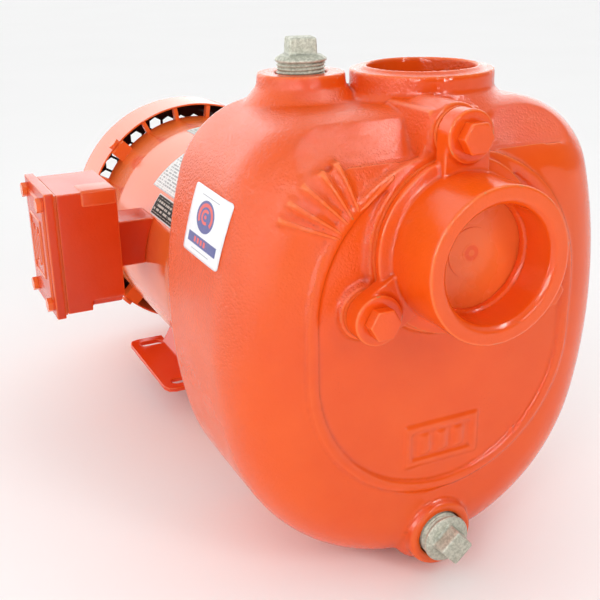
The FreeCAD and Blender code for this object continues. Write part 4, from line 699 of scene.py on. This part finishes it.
def raised_panel(width, height, radius, rise, slope=0.0008):
    """A low pad with round corners and sloped, softened sides, standing up along +Z from z = -0.0004."""
    rings = []
    for inset, z in ((-slope, -0.0004), (-slope * 0.6, rise * 0.15), (0.0, rise * 0.75),
                     (slope * 0.5, rise * 0.97), (slope * 1.4, rise)):
        outline = rounded_rectangle(width - 2 * inset, height - 2 * inset, max(radius - inset, 0.0004))
        rings.append([(x, y, z) for x, y in outline])
    return skin_of_rings(rings)


def raised_frame(width, height, radius, thick, rise):
    """A low rib running round a rectangle with round corners."""
    rings = []
    for inset, z in ((0.0, -0.0004), (thick * 0.15, rise * 0.7), (thick * 0.35, rise), (thick * 0.65, rise),
                     (thick * 0.85, rise * 0.7), (thick, -0.0004)):
        outline = rounded_rectangle(width - 2 * inset, height - 2 * inset, max(radius - inset, 0.0003))
        rings.append([(x, y, z) for x, y in outline])
    return skin_of_rings(rings + [rings[0]], capped=False)


def on_cover(mesh, y, z, proud):
    """Stands a piece modelled about +Z on the outer face of the conduit cover."""
    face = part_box("conduit_cover")[0][0]
    axes = Matrix(((0, 0, -1), (-1, 0, 0), (0, 1, 0))).to_4x4()
    mesh.transform(Matrix.Translation((face - proud, y, z)) @ axes)
    return mesh


_, COVER_Y, COVER_Z = centre("conduit_cover")
PANEL_RISE = 0.0011
details = [
    ("cover_raised_panel", raised_panel(0.050, 0.069, 0.004, 0.0012), COVER_Y, COVER_Z, 0.0),
    ("cover_emblem_frame", raised_frame(0.032, 0.040, 0.002, 0.0016, 0.0009), COVER_Y, COVER_Z + 0.001,
     PANEL_RISE),
]
for k in range(4):
    bar = raised_panel(0.0030, 0.026 if k % 2 else 0.020, 0.0010, 0.0009, 0.0004)
    details.append(("cover_emblem_bar_%d" % (k + 1), bar, COVER_Y - 0.0090 + 0.0060 * k, COVER_Z + 0.001,
                    PANEL_RISE))
for name, mesh, y, z, proud in details:
    piece(name, on_cover(mesh, y, z, proud), PAINT_BOX, "pump", "painted_sheet")


def lug(name, low, high, rounding):
    """A block with rounded edges, pressed on the conduit box."""
    bm = bmesh.new()
    size = [b - a for a, b in zip(low, high)]
    bmesh.ops.create_cube(bm, size=1.0)
    for vertex in bm.verts:
        vertex.co = Vector([(v + 0.5) * s + a for v, s, a in zip(vertex.co, size, low)])
    bmesh.ops.bevel(bm, geom=bm.edges[:] + bm.verts[:], offset=rounding, segments=5, affect="EDGES",
                    profile=0.5)
    mesh = bpy.data.meshes.new(name)
    bm.to_mesh(mesh)
    bm.free()
    piece(name, mesh, PAINT_BOX, "pump", "painted_sheet")


box_low, box_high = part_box("conduit_box")
lug("box_top_lug", (-0.1275, box_low[1] - 0.0009, box_high[2] - 0.0100),
    (-0.1040, box_low[1] + 0.020, box_high[2] + 0.0009), 0.0020)


# --------------------------------------------------------------------------------------------------
# Stage
# --------------------------------------------------------------------------------------------------

CAMERA_AT = Vector((-0.2541, -0.6517, 0.3069))
YAW, PITCH, ROLL = 0.439, -0.365, -0.019
FOCAL_PIXELS = 959.0
IMAGE_PIXELS = 600
SENSOR_MM = 36


def set_camera():
    """The camera that the photograph was taken with, as fitted to the object's standard parts."""
    forward = Vector((math.sin(YAW) * math.cos(PITCH), math.cos(YAW) * math.cos(PITCH), math.sin(PITCH)))
    right = Vector((math.cos(YAW), -math.sin(YAW), 0))
    up = right.cross(forward)
    across = right * math.cos(ROLL) + up * math.sin(ROLL)
    upward = up * math.cos(ROLL) - right * math.sin(ROLL)
    data = bpy.data.cameras.new("camera")
    data.sensor_width = SENSOR_MM
    data.lens = FOCAL_PIXELS / IMAGE_PIXELS * SENSOR_MM
    data.clip_start = 0.02
    camera = bpy.data.objects.new("camera", data)
    turn = Matrix((across, upward, -forward)).transposed().to_4x4()
    camera.matrix_world = Matrix.Translation(CAMERA_AT) @ turn
    bpy.context.collection.objects.link(camera)
    bpy.context.scene.camera = camera


def area_light(name, at, target, width, height, power, glint):
    """A studio light: a wide one gives the even light, a narrow one (glint) only the sharp highlights."""
    data = bpy.data.lights.new(name, "AREA")
    data.shape = "RECTANGLE"
    data.size, data.size_y = width, height
    data.energy = power
    light = bpy.data.objects.new(name, data)
    light.location = at
    light.rotation_euler = (Vector(target) - Vector(at)).to_track_quat("-Z", "Y").to_euler()
    light.visible_diffuse = not glint
    light.visible_glossy = glint
    bpy.context.collection.objects.link(light)


def set_floor():
    mesh = bpy.data.meshes.new("floor")
    bm = bmesh.new()
    bmesh.ops.create_grid(bm, x_segments=8, y_segments=8, size=6.0)
    bm.to_mesh(mesh)
    bm.free()
    floor = bpy.data.objects.new("floor", mesh)
    floor.location = (0, 0, min(CAD_BOX[0][2], -0.02) - 0.0005)
    bpy.context.collection.objects.link(floor)
    g = Graph("studio_floor")
    tone = g.mix(g.noise(3.0), (0.93, 0.93, 0.93, 1), (0.96, 0.96, 0.96, 1))
    mesh.materials.append(g.finish(tone, 0.9))


def set_world():
    """A studio room: a bright ceiling, dimmer towards the camera, and a bright wall low down behind."""
    world = bpy.data.worlds.new("studio")
    world.use_nodes = True
    tree = world.node_tree
    background = tree.nodes["Background"]
    background.inputs["Color"].default_value = (1, 1, 1, 1)
    where = tree.nodes.new("ShaderNodeTexCoord")
    axes = tree.nodes.new("ShaderNodeSeparateXYZ")
    tree.links.new(where.outputs["Generated"], axes.inputs[0])

    def step(source, low, high, to_low, to_high):
        node = tree.nodes.new("ShaderNodeMapRange")
        node.interpolation_type = "SMOOTHSTEP"
        for socket, value in (("From Min", low), ("From Max", high), ("To Min", to_low), ("To Max", to_high)):
            node.inputs[socket].default_value = value
        tree.links.new(source, node.inputs["Value"])
        return node.outputs["Result"]

    def combine(operation, first, second):
        node = tree.nodes.new("ShaderNodeMath")
        node.operation = operation
        tree.links.new(first, node.inputs[0])
        tree.links.new(second, node.inputs[1])
        return node.outputs[0]

    height, depth = axes.outputs[2], axes.outputs[1]
    ceiling = combine("MULTIPLY", step(height, 0.20, 0.60, 0.35, 0.96), step(depth, 0.0, -0.7, 1.0, 0.50))
    wall = combine("MULTIPLY", step(depth, 0.15, 0.45, 0.0, 1.7), step(height, 0.62, 0.42, 0.0, 1.0))
    tree.links.new(combine("ADD", ceiling, wall), background.inputs["Strength"])
    bpy.context.scene.world = world


LIT_POINT = (-0.05, -0.25, 0.15)
LIGHTS = (
    ("left_bank", (-0.95, -1.00, 0.55), 0.35, 0.90, 4.6, False),
    ("front_bank", (0.30, -1.30, 0.80), 0.30, 0.60, 3.6, False),
    ("left_window", (-0.84, -1.23, 0.60), 0.10, 0.70, 8.5, True),
    ("side_window", (-1.15, -0.40, 0.36), 0.10, 0.70, 5.0, True),
    ("front_window", (0.14, -1.45, 0.52), 0.05, 0.60, 4.5, True),
    ("top_window", (0.48, -0.76, 1.22), 0.08, 0.40, 5.5, True),
)


set_camera()
set_floor()
set_world()
for name, at, width, height, power, glint in LIGHTS:
    area_light(name, at, LIT_POINT, width, height, power, glint)
bpy.context.scene.view_settings.view_transform = "Standard"
